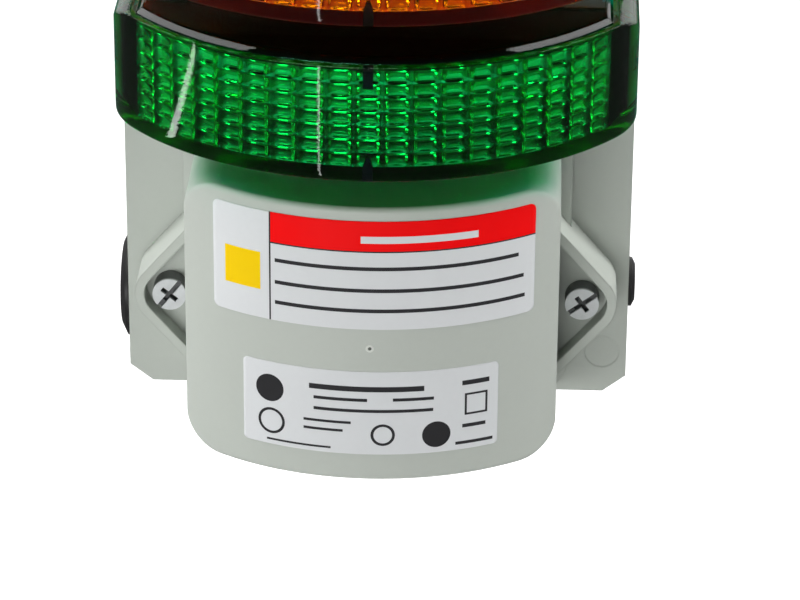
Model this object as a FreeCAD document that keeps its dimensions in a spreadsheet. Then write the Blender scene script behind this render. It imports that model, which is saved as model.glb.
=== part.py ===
"""Wall-mounted stack light: back housing, wiring cover, three coloured half-round lenses and a top cap.

Frame: the wall is the plane Y = 0, the front looks along -Y, +Z is up, and the
origin is the middle of the four wall holes. Lengths are in millimetres.
"""
import FreeCAD, Part
import math
import os
import re
import Sketcher
from FreeCAD import Rotation, Vector

SIZES = {
    # back housing
    "housing_width": 90.0, "housing_depth": 24.0, "housing_wall": 2.5,
    "corner_side": 4.1, "corner_rise": 3.3, "lip_height": 4.9, "lip_set_back": 0.35,
    "mark_d": 6.2, "mark_depth": 0.12, "mark_side": 4.4, "mark_rise": 8.1,
    "wall_hole_d": 5.2, "wall_hole_across": 52.0, "wall_hole_inset": 12.7, "wall_tube_wall": 2.4,
    "gasket_thick": 1.5, "gasket_width": 1.7, "gasket_inset": 0.4,
    # wiring cover with its ears
    "cover_margin": 1.2, "cover_width": 64.7, "cover_height": 51.8, "cover_corner": 6.5,
    "cover_reach": 38.3, "cover_arc": 47.1, "cover_wall": 2.2, "cover_edge": 1.0,
    "flange_lip": 2.1, "flange_low": 0.5, "flange_high": 1.0, "flange_thick": 3.5, "flange_corner": 7.5,
    "ear_reach": 10.4, "ear_radius": 6.15, "ear_slope": 49.0, "ear_rise": 10.6, "ear_wall": 1.7,
    "ear_floor": 6.7, "ear_height": 21.4,
    "seal_width": 1.4, "seal_depth": 1.2, "seal_inset": 1.6,
    # machine screws
    "screw_d": 3.0, "screw_head_d": 6.0, "screw_head_rise": 3.8, "screw_length": 16.0,
    "screw_slot": 0.9, "screw_cross": 3.4, "screw_recess": 1.6, "screw_boss_wall": 1.4,
    "screw_slot_depth": 0.8, "boss_end": 1.0, "pilot_spare": 0.5, "hole_clearance": 0.2,
    # coloured lenses
    "lens_arc": 52.0, "lens_corner": 18.0, "lens_reach": 43.2, "lens_height": 21.4,
    "lens_wall": 2.4, "lens_cheek": 3.0, "lens_floor": 2.2, "lens_roof": 2.0, "lens_edge": 0.7,
    "lens_shoulder": 4.5, "lens_ledge": 3.6, "plateau_corner": 2.4,
    "window_corner": 3.2, "ridge_width": 1.0, "ridge_drop": 0.6, "groove_width": 1.1, "groove_depth": 0.7,
    "plateau_bevel": 1.0, "optic_depth": 0.8, "optic_foot": 0.2, "optic_bevel": 0.6, "optic_spread": 5.45,
    "tick_width": 1.8, "tick_height": 3.2, "tick_proud": 0.4, "tick_root": 0.3,
    "lens_seal": 0.8, "seal_room": 0.4, "lens_post_d": 5.0, "lens_post_length": 10.0, "post_end": 2.0,
    "post_bite": 0.2, "shade_width": 66.0, "shade_thick": 0.7, "shade_room": 1.2, "shade_back": 2.0,
    "cover_gap": 7.0, "tier_gap": 6.3,
    # top cap and its sounder
    "cap_height": 21.4, "cap_wall": 2.2, "cap_edge": 1.4, "cap_margin": 1.8,
    "sounder_d": 15.0, "sounder_rise": 6.0, "sounder_port_d": 3.0, "sounder_port_depth": 2.0,
    # boards, diodes and terminals
    "board_thick": 1.6, "led_board_width": 66.0, "led_board_height": 12.0, "board_stand": 3.0,
    "board_peg_d": 5.0, "board_peg_inset": 4.0, "led_width": 3.5, "led_height": 2.8, "led_rise": 1.6,
    "led_pitch": 8.5, "board_screw_d": 2.0, "board_screw_head_d": 3.8, "board_screw_head_rise": 1.4,
    "board_screw_length": 6.0,
    "main_board_width": 30.0, "main_board_end": 13.0,
    "header_width": 10.0, "header_height": 2.5, "header_room": 0.5,
    "terminal_board_width": 38.0, "terminal_board_height": 26.0, "terminal_board_rise": 24.6,
    "terminal_pitch": 5.08, "terminal_depth": 10.0, "terminal_height": 12.0, "terminal_end": 1.0,
    "terminal_entry": 3.2, "terminal_entry_depth": 6.0, "terminal_screw_d": 3.4, "terminal_screw_rise": 3.0,
    "terminal_slot_depth": 1.0,
    # blanking plugs in the side walls: a large one on the left, a small one on the right
    "plug_d": 15.8, "plug_head_d": 19.6, "plug_head_rise": 1.5, "plug_dome": 1.0, "plug_stem": 4.0,
    "plug_bore_d": 11.0, "plug_height": 14.2, "plug_seal": 0.5, "plug_back": 12.0,
    "button_d": 6.4, "button_head_d": 9.0, "button_head_rise": 0.9, "button_dome": 0.6,
    "button_bore_d": 4.0, "button_height": 16.6,
}
TIERS = ("green", "amber", "red")
OPTIC_ROWS = 7
OPTIC_COLUMNS = 19
LEDS_PER_TIER = 6
TERMINAL_WAYS = 6
ENTRIES = ((-1, "left", "plug"), (1, "right", "button"))
SCREW_TURNS = {"left": -52.0, "right": -37.0}
OVERSHOOT = 1.0
TOUCH = 1e-3

TIER_PITCH = "(lens_height + tier_gap)"
HOUSING_HEIGHT = (
    f"(cover_margin + cover_height + cover_gap + {len(TIERS)} * {TIER_PITCH} + cap_height + cap_margin)"
)
BOTTOM = f"(-{HOUSING_HEIGHT} / 2)"
COVER_LOW = f"({BOTTOM} + cover_margin)"
CAP_LOW = f"(-{BOTTOM} - cap_margin - cap_height)"
EAR_X = "(cover_width / 2 + ear_reach - ear_radius)"
EAR_Z = f"({COVER_LOW} + ear_height)"
LENS_BACK = "(housing_depth + lens_seal)"
LENS_FRONT = "(housing_depth + lens_reach)"
CAVITY = "(lens_height - lens_floor - lens_roof)"
POST_X = "(housing_width / 2 - lens_cheek - lens_post_d / 2 + post_bite)"
BOARD_Y = "(housing_depth + board_stand)"
TERMINAL_Z = f"({COVER_LOW} + terminal_board_rise)"

doc = FreeCAD.newDocument("stack_light")
sheet = doc.addObject("Spreadsheet::Sheet", "Sizes")
for row, (alias, size) in enumerate(SIZES.items(), 1):
    sheet.set(f"A{row}", alias)
    sheet.set(f"B{row}", str(size))
    sheet.setAlias(f"B{row}", alias)
doc.recompute()

WORD = re.compile(r"[a-z_]+[a-z]")
nodes = {}


def tier_low(tier):
    """Height of a lens's underside, counted up from the wiring cover."""
    return f"({COVER_LOW} + cover_height + cover_gap + {tier} * {TIER_PITCH})"


def tier_middle(tier):
    """Mid-height of a lens."""
    return f"({tier_low(tier)} + lens_height / 2)"


def entry_height(kind):
    """Height of the cable entry that a kind of plug closes."""
    return f"({BOTTOM} + {kind}_height)"


def bound(text):
    """The expression with each size name pointing at its cell."""
    return WORD.sub(lambda word: "Sizes." + word[0] if word[0] in SIZES else word[0], str(text))


def number(text):
    """Present value of an expression."""
    return float(sheet.evalExpression(bound(text)))


def keep(label, obj):
    """Name a finished sub-part, which also names its file."""
    obj.Label = label
    nodes[label] = obj
    return obj


# Sketches

def new_sketch(body, name, role, offset="0", shift="0"):
    """Sketch on one of the body's own planes, moved along its normal by offset and up its page by shift."""
    sketch = body.newObject("Sketcher::SketchObject", f"{body.Name}_{name}")
    plane = next(feature for feature in body.Origin.OriginFeatures if feature.Role == role)
    sketch.AttachmentSupport = [(plane, "")]
    sketch.MapMode = "FlatFace"
    sketch.setExpression("AttachmentOffset.Base.z", bound(offset))
    sketch.setExpression("AttachmentOffset.Base.y", bound(shift))
    return sketch


def bind(sketch, kind, *where, size):
    """Dimension whose value follows the sheet."""
    index = sketch.addConstraint(Sketcher.Constraint(kind, *where, number(size)))
    sketch.setExpression(f"Constraints[{index}]", bound(size))


def page(x, y):
    """Point on a sketch's page."""
    return Vector(x, y, 0)


def round_arc(x, y, radius, start, end):
    """Arc on a sketch's page, anticlockwise between two angles in radians."""
    return Part.ArcOfCircle(Part.Circle(page(x, y), Vector(0, 0, 1), radius), start, end)


def draw_circle(sketch, diameter, x, y):
    """Circle held by its diameter and centre."""
    ring = Part.Circle(page(number(x), number(y)), Vector(0, 0, 1), number(diameter) / 2)
    circle = sketch.addGeometry(ring)
    bind(sketch, "Diameter", circle, size=diameter)
    bind(sketch, "DistanceX", -1, 1, circle, 3, size=x)
    bind(sketch, "DistanceY", -1, 1, circle, 3, size=y)


def draw_polygon(sketch, corners):
    """Closed straight-sided outline with each corner held from the page's origin."""
    points = [page(number(x), number(y)) for x, y in corners]
    sides = [sketch.addGeometry(Part.LineSegment(a, b)) for a, b in zip(points, points[1:] + points[:1])]
    for side, following in zip(sides, sides[1:] + sides[:1]):
        sketch.addConstraint(Sketcher.Constraint("Coincident", side, 2, following, 1))
    for side, (x, y) in zip(sides, corners):
        bind(sketch, "DistanceX", -1, 1, side, 1, size=x)
        bind(sketch, "DistanceY", -1, 1, side, 1, size=y)


def draw_rectangle(sketch, left, low, right, high):
    """Plain rectangle between two corners."""
    draw_polygon(sketch, [(left, low), (right, low), (right, high), (left, high)])


def draw_round_rectangle(sketch, width, low, high, corner):
    """Rectangle centred on the page's upright axis, with four equal round corners."""
    half, bottom, top, radius = number(width) / 2, number(low), number(high), number(corner)
    turn = math.pi / 2
    runs = [
        sketch.addGeometry(Part.LineSegment(page(radius - half, bottom), page(half - radius, bottom))),
        sketch.addGeometry(Part.LineSegment(page(half, bottom + radius), page(half, top - radius))),
        sketch.addGeometry(Part.LineSegment(page(half - radius, top), page(radius - half, top))),
        sketch.addGeometry(Part.LineSegment(page(-half, top - radius), page(-half, bottom + radius))),
    ]
    rounds = [
        sketch.addGeometry(round_arc(half - radius, bottom + radius, radius, -turn, 0)),
        sketch.addGeometry(round_arc(half - radius, top - radius, radius, 0, turn)),
        sketch.addGeometry(round_arc(radius - half, top - radius, radius, turn, 2 * turn)),
        sketch.addGeometry(round_arc(radius - half, bottom + radius, radius, 2 * turn, 3 * turn)),
    ]
    for index in range(4):
        sketch.addConstraint(Sketcher.Constraint("Tangent", runs[index], 2, rounds[index], 1))
        sketch.addConstraint(Sketcher.Constraint("Tangent", rounds[index], 2, runs[(index + 1) % 4], 1))
    for index, way in enumerate(("Vertical", "Horizontal", "Vertical"), 1):
        sketch.addConstraint(Sketcher.Constraint(way, runs[index]))
    for index in range(1, 4):
        sketch.addConstraint(Sketcher.Constraint("Equal", rounds[0], rounds[index]))
    sketch.addConstraint(Sketcher.Constraint("Symmetric", runs[0], 1, runs[0], 2, -2))
    bind(sketch, "Radius", rounds[0], size=corner)
    bind(sketch, "DistanceX", runs[3], 2, runs[1], 1, size=width)
    bind(sketch, "DistanceY", -1, 1, runs[0], 1, size=low)
    bind(sketch, "DistanceY", -1, 1, runs[2], 1, size=high)


def draw_half_drum(sketch, width, arc, corner, front, back):
    """Half-drum plan: a bowed front, two tangent corner arcs and straight sides to a flat rear."""
    side, bow, bend = number(width) / 2, number(arc), number(corner)
    centre = bow - number(front)
    inset = side - bend
    bend_y = centre - math.sqrt((bow - bend) ** 2 - inset ** 2)
    meet = math.atan2(bend_y - centre, inset)
    rear_y = -number(back)
    front_arc = sketch.addGeometry(round_arc(0, centre, bow, -math.pi - meet, meet))
    right = sketch.addGeometry(round_arc(inset, bend_y, bend, meet, 0))
    right_side = sketch.addGeometry(Part.LineSegment(page(side, bend_y), page(side, rear_y)))
    rear = sketch.addGeometry(Part.LineSegment(page(side, rear_y), page(-side, rear_y)))
    left_side = sketch.addGeometry(Part.LineSegment(page(-side, rear_y), page(-side, bend_y)))
    left = sketch.addGeometry(round_arc(-inset, bend_y, bend, -math.pi, -math.pi - meet))
    joins = [
        ("Tangent", front_arc, 2, right, 1), ("Tangent", right, 2, right_side, 1),
        ("Coincident", right_side, 2, rear, 1), ("Coincident", rear, 2, left_side, 1),
        ("Tangent", left_side, 2, left, 1), ("Tangent", left, 2, front_arc, 1),
        ("Vertical", right_side), ("Vertical", left_side), ("Symmetric", rear, 1, rear, 2, -2),
        ("PointOnObject", front_arc, 3, -2), ("Equal", left, right),
    ]
    sketch.addConstraint([Sketcher.Constraint(*join) for join in joins])
    bind(sketch, "Radius", front_arc, size=arc)
    bind(sketch, "Radius", right, size=corner)
    bind(sketch, "DistanceX", rear, 2, rear, 1, size=width)
    bind(sketch, "DistanceY", -1, 1, rear, 1, size=f"-({back})")
    bind(sketch, "DistanceY", -1, 1, front_arc, 3, size=f"{arc} - ({front})")


def draw_bow_box(sketch, width, arc, front, back):
    """Plan of a hollow: a bowed front that meets straight sides at a corner, and a flat rear."""
    side, bow = number(width) / 2, number(arc)
    centre = bow - number(front)
    rear_y = -number(back)
    meet = math.asin(side / bow)
    shoulder = centre - bow * math.cos(meet)
    front_arc = sketch.addGeometry(round_arc(0, centre, bow, -math.pi / 2 - meet, -math.pi / 2 + meet))
    right = sketch.addGeometry(Part.LineSegment(page(side, shoulder), page(side, rear_y)))
    rear = sketch.addGeometry(Part.LineSegment(page(side, rear_y), page(-side, rear_y)))
    left = sketch.addGeometry(Part.LineSegment(page(-side, rear_y), page(-side, shoulder)))
    joins = [
        ("Coincident", front_arc, 2, right, 1), ("Coincident", right, 2, rear, 1),
        ("Coincident", rear, 2, left, 1), ("Coincident", left, 2, front_arc, 1),
        ("Vertical", right), ("Vertical", left), ("Symmetric", rear, 1, rear, 2, -2),
        ("PointOnObject", front_arc, 3, -2),
    ]
    sketch.addConstraint([Sketcher.Constraint(*join) for join in joins])
    bind(sketch, "Radius", front_arc, size=arc)
    bind(sketch, "DistanceX", rear, 2, rear, 1, size=width)
    bind(sketch, "DistanceY", -1, 1, rear, 1, size=f"-({back})")
    bind(sketch, "DistanceY", -1, 1, front_arc, 3, size=f"{arc} - ({front})")


def draw_ear(sketch, side, inner, radius, slope, x, z):
    """Ear on one side (+1 or -1): two sloping edges tangent to a round tip about the screw."""
    lean = math.radians(number(slope))
    reach, tip_x, tip_z = number(radius), side * number(x), number(z)
    root_x = side * number(inner)
    touch_x, touch_z = reach * math.sin(lean), reach * math.cos(lean)
    run = abs(tip_x - root_x) + touch_x
    root_z = touch_z + run * math.tan(lean)
    upper_root, lower_root = page(root_x, tip_z + root_z), page(root_x, tip_z - root_z)
    edge_x = tip_x + side * touch_x
    upper, lower = page(edge_x, tip_z + touch_z), page(edge_x, tip_z - touch_z)
    span = math.pi / 2 - lean
    middle = 0 if side > 0 else math.pi
    tip = sketch.addGeometry(round_arc(tip_x, tip_z, reach, middle - span, middle + span))
    first, last = (lower, upper) if side > 0 else (upper, lower)
    first_root, last_root = (lower_root, upper_root) if side > 0 else (upper_root, lower_root)
    entry = sketch.addGeometry(Part.LineSegment(first_root, first))
    leave = sketch.addGeometry(Part.LineSegment(last, last_root))
    root = sketch.addGeometry(Part.LineSegment(last_root, first_root))
    joins = [
        ("Tangent", entry, 2, tip, 1), ("Tangent", tip, 2, leave, 1),
        ("Coincident", leave, 2, root, 1), ("Coincident", root, 2, entry, 1), ("Vertical", root),
    ]
    sketch.addConstraint([Sketcher.Constraint(*join) for join in joins])
    bind(sketch, "Radius", tip, size=radius)
    bind(sketch, "DistanceX", -1, 1, tip, 3, size=f"{side} * {x}")
    bind(sketch, "DistanceY", -1, 1, tip, 3, size=z)
    bind(sketch, "DistanceX", -1, 1, root, 1, size=f"{side} * {inner}")
    angle = f"({slope} * 1 deg)"
    rise = f"{radius} * cos{angle} + ({x} - {inner} + {radius} * sin{angle}) * tan{angle}"
    bind(sketch, "DistanceY", -1, 1, entry, 1, size=f"{z} - {side} * ({rise})")
    bind(sketch, "DistanceY", -1, 1, leave, 2, size=f"{z} + {side} * ({rise})")


# Features

def pad(body, sketch, length, back=False):
    """Solid grown from the sketch along its normal, or against it."""
    feature = body.newObject("PartDesign::Pad", f"{sketch.Name}_pad")
    feature.Profile = sketch
    feature.Reversed = back
    feature.setExpression("Length", bound(length))
    doc.recompute()
    return feature


def pocket(body, sketch, length, back=False):
    """Cut from the sketch along its normal, or against it; it has to take something away."""
    before = body.Shape.Volume
    feature = body.newObject("PartDesign::Pocket", f"{sketch.Name}_cut")
    feature.Profile = sketch
    feature.Reversed = not back
    feature.setExpression("Length", bound(length))
    doc.recompute()
    if not body.Shape.Volume < before:
        raise RuntimeError(f"{sketch.Name} cuts nothing")
    return feature


def edges_where(shape, test):
    """Names of the edges that pass a test."""
    return [f"Edge{index}" for index, edge in enumerate(shape.Edges, 1) if test(edge)]


def edges_of_face(shape, test):
    """Names of the edges round the faces that pass a test."""
    rims = [edge for face in shape.Faces if test(face) for edge in face.Edges]
    return edges_where(shape, lambda edge: any(edge.isSame(rim) for rim in rims))


def is_round(face, radius):
    """True for a cylindrical face of this radius."""
    return isinstance(face.Surface, Part.Cylinder) and abs(face.Surface.Radius - radius) < TOUCH


def round_edges(body, names, radius, kind="Fillet"):
    """Round or bevel named edges of the body's last feature."""
    base = body.Tip
    feature = body.newObject(f"PartDesign::{kind}", f"{base.Name}_{kind.lower()}")
    feature.Base = (base, names)
    feature.setExpression("Radius" if kind == "Fillet" else "Size", bound(radius))
    doc.recompute()
    return feature


def lies_at(edge, axis, place):
    """True where the whole edge has one coordinate, such as z, equal to a place."""
    box = edge.BoundBox
    low, high = getattr(box, axis.upper() + "Min"), getattr(box, axis.upper() + "Max")
    return abs(low - place) < TOUCH and abs(high - place) < TOUCH


def front_edges(shape, height, rear):
    """Edges at one height, without those on the rear plane."""
    return edges_where(shape, lambda edge: lies_at(edge, "z", height) and edge.BoundBox.YMin < rear - TOUCH)


# Primitives

TURNS = {
    "+z": Rotation(), "-y": Rotation(Vector(1, 0, 0), 90), "+y": Rotation(Vector(1, 0, 0), -90),
    "+x": Rotation(Vector(0, 1, 0), 90), "-x": Rotation(Vector(0, 1, 0), -90),
}


def put(obj, x, y, z, way="+z", roll=0):
    """Turn an object, roll it about Y by degrees and tie its place to the sheet."""
    obj.Placement = FreeCAD.Placement(Vector(), Rotation(Vector(0, 1, 0), roll) * TURNS[way])
    for axis, place in zip("xyz", (x, y, z)):
        obj.setExpression(f"Placement.Base.{axis}", bound(place))
    return obj


def block(name, x, y, z, length, width, height):
    """Box from its low corner."""
    obj = doc.addObject("Part::Box", name)
    for prop, size in zip(("Length", "Width", "Height"), (length, width, height)):
        obj.setExpression(prop, bound(size))
    return put(obj, x, y, z)


def rod(name, diameter, length, x, y, z, way):
    """Round bar from the middle of its starting end."""
    obj = doc.addObject("Part::Cylinder", name)
    obj.setExpression("Radius", bound(f"({diameter}) / 2"))
    obj.setExpression("Height", bound(length))
    return put(obj, x, y, z, way)


def joined(name, pieces):
    """Pieces fused to one solid."""
    obj = doc.addObject("Part::MultiFuse", name)
    obj.Shapes = pieces
    return obj


def less(name, base, tools):
    """Base with the tools taken out of it."""
    obj = doc.addObject("Part::Cut", name)
    obj.Base = base
    obj.Tool = tools[0] if len(tools) == 1 else grouped(f"{name}_tools", tools)
    return obj


def grouped(name, pieces):
    """Separate solids that share one node."""
    obj = doc.addObject("Part::Compound", name)
    obj.Links = pieces
    return obj


def screw(name, x, y, z, way, diameter, head_d, head_rise, length):
    """Cheese-head screw seated at a point: the head stands against the way that the shank goes."""
    away = {"+y": "-y", "-y": "+y"}[way]
    head = rod(f"{name}_head", head_d, head_rise, x, y, z, away)
    shank = rod(f"{name}_shank", diameter, length, x, y, z, way)
    return joined(name, [head, shank])


# Back housing

def chamfered(inset):
    """Housing outline with its four cut corners, moved in by an inset."""
    side, top = f"(housing_width / 2 - ({inset}))", f"({HOUSING_HEIGHT} / 2 - ({inset}))"
    flat, rise = f"({side} - corner_side)", f"({top} - corner_rise)"
    return [
        (f"-{flat}", f"-{top}"), (flat, f"-{top}"), (side, f"-{rise}"), (side, rise),
        (flat, top), (f"-{flat}", top), (f"-{side}", rise), (f"-{side}", f"-{rise}"),
    ]


def wall_hole_places():
    """Centres of the four wall holes."""
    rise = f"({HOUSING_HEIGHT} / 2 - wall_hole_inset)"
    return [(f"{side} * wall_hole_across / 2", f"{up} * {rise}") for side in (-1, 1) for up in (-1, 1)]


def module_middles():
    """Mid-heights of the three lenses and the cap."""
    return [tier_middle(tier) for tier in range(len(TIERS))] + [f"({CAP_LOW} + cap_height / 2)"]


def peg_places(tier):
    """Centres of the two pegs that carry a tier's board."""
    reach = "(led_board_width / 2 - board_peg_inset)"
    return [(f"{side} * {reach}", tier_middle(tier)) for side in (-1, 1)]


def terminal_peg_places():
    """Centres of the two pegs that carry the terminal board, at opposite corners."""
    reach = "(terminal_board_width / 2 - board_peg_inset)"
    rise = "(terminal_board_height / 2 - board_peg_inset)"
    return [(f"{side} * {reach}", f"({TERMINAL_Z} - {side} * {rise})") for side in (-1, 1)]


def header_places():
    """Middles of the slots through which the boards plug into the main board."""
    return [TERMINAL_Z] + [tier_middle(tier) for tier in range(len(TIERS))]


def main_peg_places():
    """Centres of the two pegs on the back of the plate that carry the main board."""
    low, high = header_places()[0], header_places()[-1]
    return [
        ("0", f"({low} - main_board_end + board_peg_inset)"),
        ("0", f"({high} + main_board_end - board_peg_inset)"),
    ]


def make_housing():
    """Tray open to the wall: plate, side walls, screw tubes, pegs and the holes for plugs and screws."""
    body = doc.addObject("PartDesign::Body", "housing")
    outline = new_sketch(body, "outline", "XZ_Plane", "gasket_thick")
    draw_polygon(outline, chamfered("0"))
    pad(body, outline, "housing_depth - gasket_thick")
    hollow = new_sketch(body, "hollow", "XZ_Plane", "gasket_thick")
    draw_polygon(hollow, chamfered("housing_wall"))
    pocket(body, hollow, "housing_depth - gasket_thick - housing_wall")

    tubes = new_sketch(body, "tubes", "XZ_Plane", "housing_depth - housing_wall")
    for x, z in wall_hole_places():
        draw_circle(tubes, "wall_hole_d + 2 * wall_tube_wall", x, z)
    pad(body, tubes, "housing_depth - housing_wall", back=True)
    bosses = new_sketch(body, "bosses", "XZ_Plane", "housing_depth - housing_wall")
    for side in (-1, 1):
        draw_circle(bosses, "screw_d + 2 * screw_boss_wall", f"{side} * {EAR_X}", EAR_Z)
    pad(body, bosses, "screw_length - ear_floor - housing_wall + boss_end", back=True)
    rear_pegs = new_sketch(body, "rear_pegs", "XZ_Plane", "housing_depth - housing_wall")
    for x, z in main_peg_places():
        draw_circle(rear_pegs, "board_peg_d", x, z)
    pad(body, rear_pegs, "board_stand", back=True)
    pegs = new_sketch(body, "pegs", "XZ_Plane", "housing_depth")
    for x, z in terminal_peg_places() + sum((peg_places(tier) for tier in range(len(TIERS))), []):
        draw_circle(pegs, "board_peg_d", x, z)
    pad(body, pegs, "board_stand")

    through = new_sketch(body, "wall_holes", "XZ_Plane", f"-{OVERSHOOT}")
    for x, z in wall_hole_places():
        draw_circle(through, "wall_hole_d", x, z)
    pocket(body, through, f"housing_depth + 2 * {OVERSHOOT}")
    screw_holes = new_sketch(body, "screw_holes", "XZ_Plane", f"housing_depth + {OVERSHOOT}")
    for side in (-1, 1):
        draw_circle(screw_holes, "screw_d + hole_clearance", f"{side} * {EAR_X}", EAR_Z)
    pocket(body, screw_holes, f"screw_length - ear_floor + {OVERSHOOT} + pilot_spare", back=True)
    post_holes = new_sketch(body, "post_holes", "XZ_Plane", f"housing_depth + {OVERSHOOT}")
    for middle in module_middles():
        for side in (-1, 1):
            draw_circle(post_holes, "board_screw_d + hole_clearance", f"{side} * {POST_X}", middle)
    pocket(body, post_holes, f"housing_wall + 2 * {OVERSHOOT}", back=True)
    pilot_holes = new_sketch(body, "pilot_holes", "XZ_Plane", f"{BOARD_Y} + {OVERSHOOT}")
    for x, z in terminal_peg_places() + sum((peg_places(tier) for tier in range(len(TIERS))), []):
        draw_circle(pilot_holes, "board_screw_d + hole_clearance", x, z)
    pocket(body, pilot_holes, f"board_screw_length - board_thick + {OVERSHOOT} + pilot_spare", back=True)
    peg_end = "housing_depth - housing_wall - board_stand"
    rear_pilots = new_sketch(body, "rear_pilots", "XZ_Plane", f"{peg_end} - {OVERSHOOT}")
    for x, z in main_peg_places():
        draw_circle(rear_pilots, "board_screw_d + hole_clearance", x, z)
    pocket(body, rear_pilots, f"board_screw_length - board_thick + {OVERSHOOT} + pilot_spare")
    slots = new_sketch(body, "slots", "XZ_Plane", f"housing_depth + {OVERSHOOT}")
    for middle in header_places():
        across, up = "(header_width / 2 + header_room)", "(header_height / 2 + header_room)"
        draw_rectangle(slots, f"-{across}", f"{middle} - {up}", across, f"{middle} + {up}")
    pocket(body, slots, f"housing_wall + 2 * {OVERSHOOT}", back=True)

    for side, name, kind in ENTRIES:
        entry = new_sketch(body, f"{name}_entry", "YZ_Plane", f"{side} * housing_width / 2")
        draw_circle(entry, f"{kind}_d + hole_clearance", "-plug_back", entry_height(kind))
        pocket(body, entry, "housing_wall", back=side > 0)
    mark = new_sketch(body, "mark", "XZ_Plane", "housing_depth")
    draw_circle(mark, "mark_d", "housing_width / 2 - mark_side", f"{BOTTOM} + mark_rise")
    pocket(body, mark, "mark_depth", back=True)
    lip = new_sketch(body, "lip", "YZ_Plane", f"-housing_width / 2 - {OVERSHOOT}")
    draw_polygon(lip, [
        ("-housing_depth", f"{BOTTOM} + lip_height"), ("-housing_depth + lip_set_back", BOTTOM),
        ("-housing_depth", BOTTOM),
    ])
    pocket(body, lip, f"housing_width + 2 * {OVERSHOOT}")
    return keep("back_housing", body)


def make_wall_gasket():
    """Flat foam ring between the housing's rim and the wall."""
    body = doc.addObject("PartDesign::Body", "gasket")
    ring = new_sketch(body, "ring", "XZ_Plane")
    draw_polygon(ring, chamfered("gasket_inset"))
    draw_polygon(ring, chamfered("gasket_inset + gasket_width"))
    pad(body, ring, "gasket_thick")
    return keep("wall_gasket", body)


# Wiring cover

def bowed_box(name, low, height, width, arc, front, corner):
    """Box with a bowed front, open at the plate's plane, and round corners as seen from the front."""
    body = doc.addObject("PartDesign::Body", name)
    plan = new_sketch(body, "plan", "XY_Plane", low)
    draw_bow_box(plan, width, arc, front, "housing_depth")
    pad(body, plan, height)
    trim = new_sketch(body, "trim", "XZ_Plane", f"housing_depth - {OVERSHOOT}")
    top = f"({low} + {height})"
    draw_rectangle(trim, f"-{width}", f"{low} - {corner}", width, f"{top} + {corner}")
    draw_round_rectangle(trim, width, low, top, corner)
    pocket(body, trim, f"{front} - housing_depth + 2 * {OVERSHOOT}")
    return body


def make_cover():
    """Bowed cover with a foot flange, two screw ears with raised rims, and a groove for its seal."""
    front = "(housing_depth + cover_reach)"
    body = bowed_box("cover", COVER_LOW, "cover_height", "cover_width", "cover_arc", front, "cover_corner")
    bow = number("cover_arc")
    round_edges(body, edges_of_face(body.Shape, lambda face: is_round(face, bow)), "cover_edge")
    foot = new_sketch(body, "foot", "XZ_Plane", "housing_depth")
    draw_foot(foot, "0")
    pad(body, foot, "flange_thick")
    ears = new_sketch(body, "ears", "XZ_Plane", "housing_depth")
    dishes = new_sketch(body, "dishes", "XZ_Plane", "housing_depth + ear_rise")
    holes = new_sketch(body, "holes", "XZ_Plane", f"housing_depth - {OVERSHOOT}")
    for side in (-1, 1):
        draw_ear(ears, side, "(cover_width / 2 - cover_wall / 2)", "ear_radius", "ear_slope", EAR_X, EAR_Z)
        draw_ear(dishes, side, "(cover_width / 2)", "(ear_radius - ear_wall)", "ear_slope", EAR_X, EAR_Z)
        draw_circle(holes, "screw_d + hole_clearance", f"{side} * {EAR_X}", EAR_Z)
    pad(body, ears, "ear_rise")
    pocket(body, dishes, "ear_rise - ear_floor", back=True)
    pocket(body, holes, f"ear_floor + 2 * {OVERSHOOT}")
    groove = new_sketch(body, "groove", "XZ_Plane", "housing_depth")
    draw_foot(groove, "seal_inset")
    draw_foot(groove, "(seal_inset + seal_width)")
    pocket(body, groove, "seal_depth")
    core = bowed_box(
        "cover_core", f"({COVER_LOW} + cover_wall)", "(cover_height - 2 * cover_wall)",
        "(cover_width - 2 * cover_wall)", "(cover_arc - cover_wall)", f"({front} - cover_wall)",
        "(cover_corner - cover_wall)",
    )
    return keep("front_cover", less("cover_shell", body, [core]))


def draw_foot(sketch, inset):
    """Outline of the cover's foot flange, moved in by an inset."""
    draw_round_rectangle(
        sketch, f"(cover_width + 2 * flange_lip - 2 * {inset})", f"({COVER_LOW} - flange_low + {inset})",
        f"({COVER_LOW} + cover_height + flange_high - {inset})", f"(flange_corner - {inset})",
    )


def make_cover_seal():
    """Square-section ring in the groove of the cover's foot."""
    body = doc.addObject("PartDesign::Body", "cover_seal")
    ring = new_sketch(body, "ring", "XZ_Plane", "housing_depth")
    draw_foot(ring, "(seal_inset + hole_clearance / 2)")
    draw_foot(ring, "(seal_inset + seal_width - hole_clearance / 2)")
    pad(body, ring, "seal_depth")
    return keep("cover_gasket", body)


def screw_drive(name, x, face, z):
    """What a slot and a cross take out of a screw head, as far round as the screw was driven."""
    deep, shallow = f"screw_recess + {OVERSHOOT}", f"screw_slot_depth + {OVERSHOOT}"
    half_slot, half_cross = "-screw_slot / 2", "-screw_cross / 2"
    ahead = f"-{OVERSHOOT}"
    slot = block(f"{name}_slot", "-screw_head_d", ahead, half_slot, "2 * screw_head_d", shallow, "screw_slot")
    cross = block(f"{name}_cross", half_slot, ahead, half_cross, "screw_slot", deep, "screw_cross")
    bar = block(f"{name}_bar", half_cross, ahead, half_slot, "screw_cross", deep, "screw_slot")
    return put(joined(f"{name}_drive", [slot, cross, bar]), x, face, z, roll=SCREW_TURNS[name])


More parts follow.
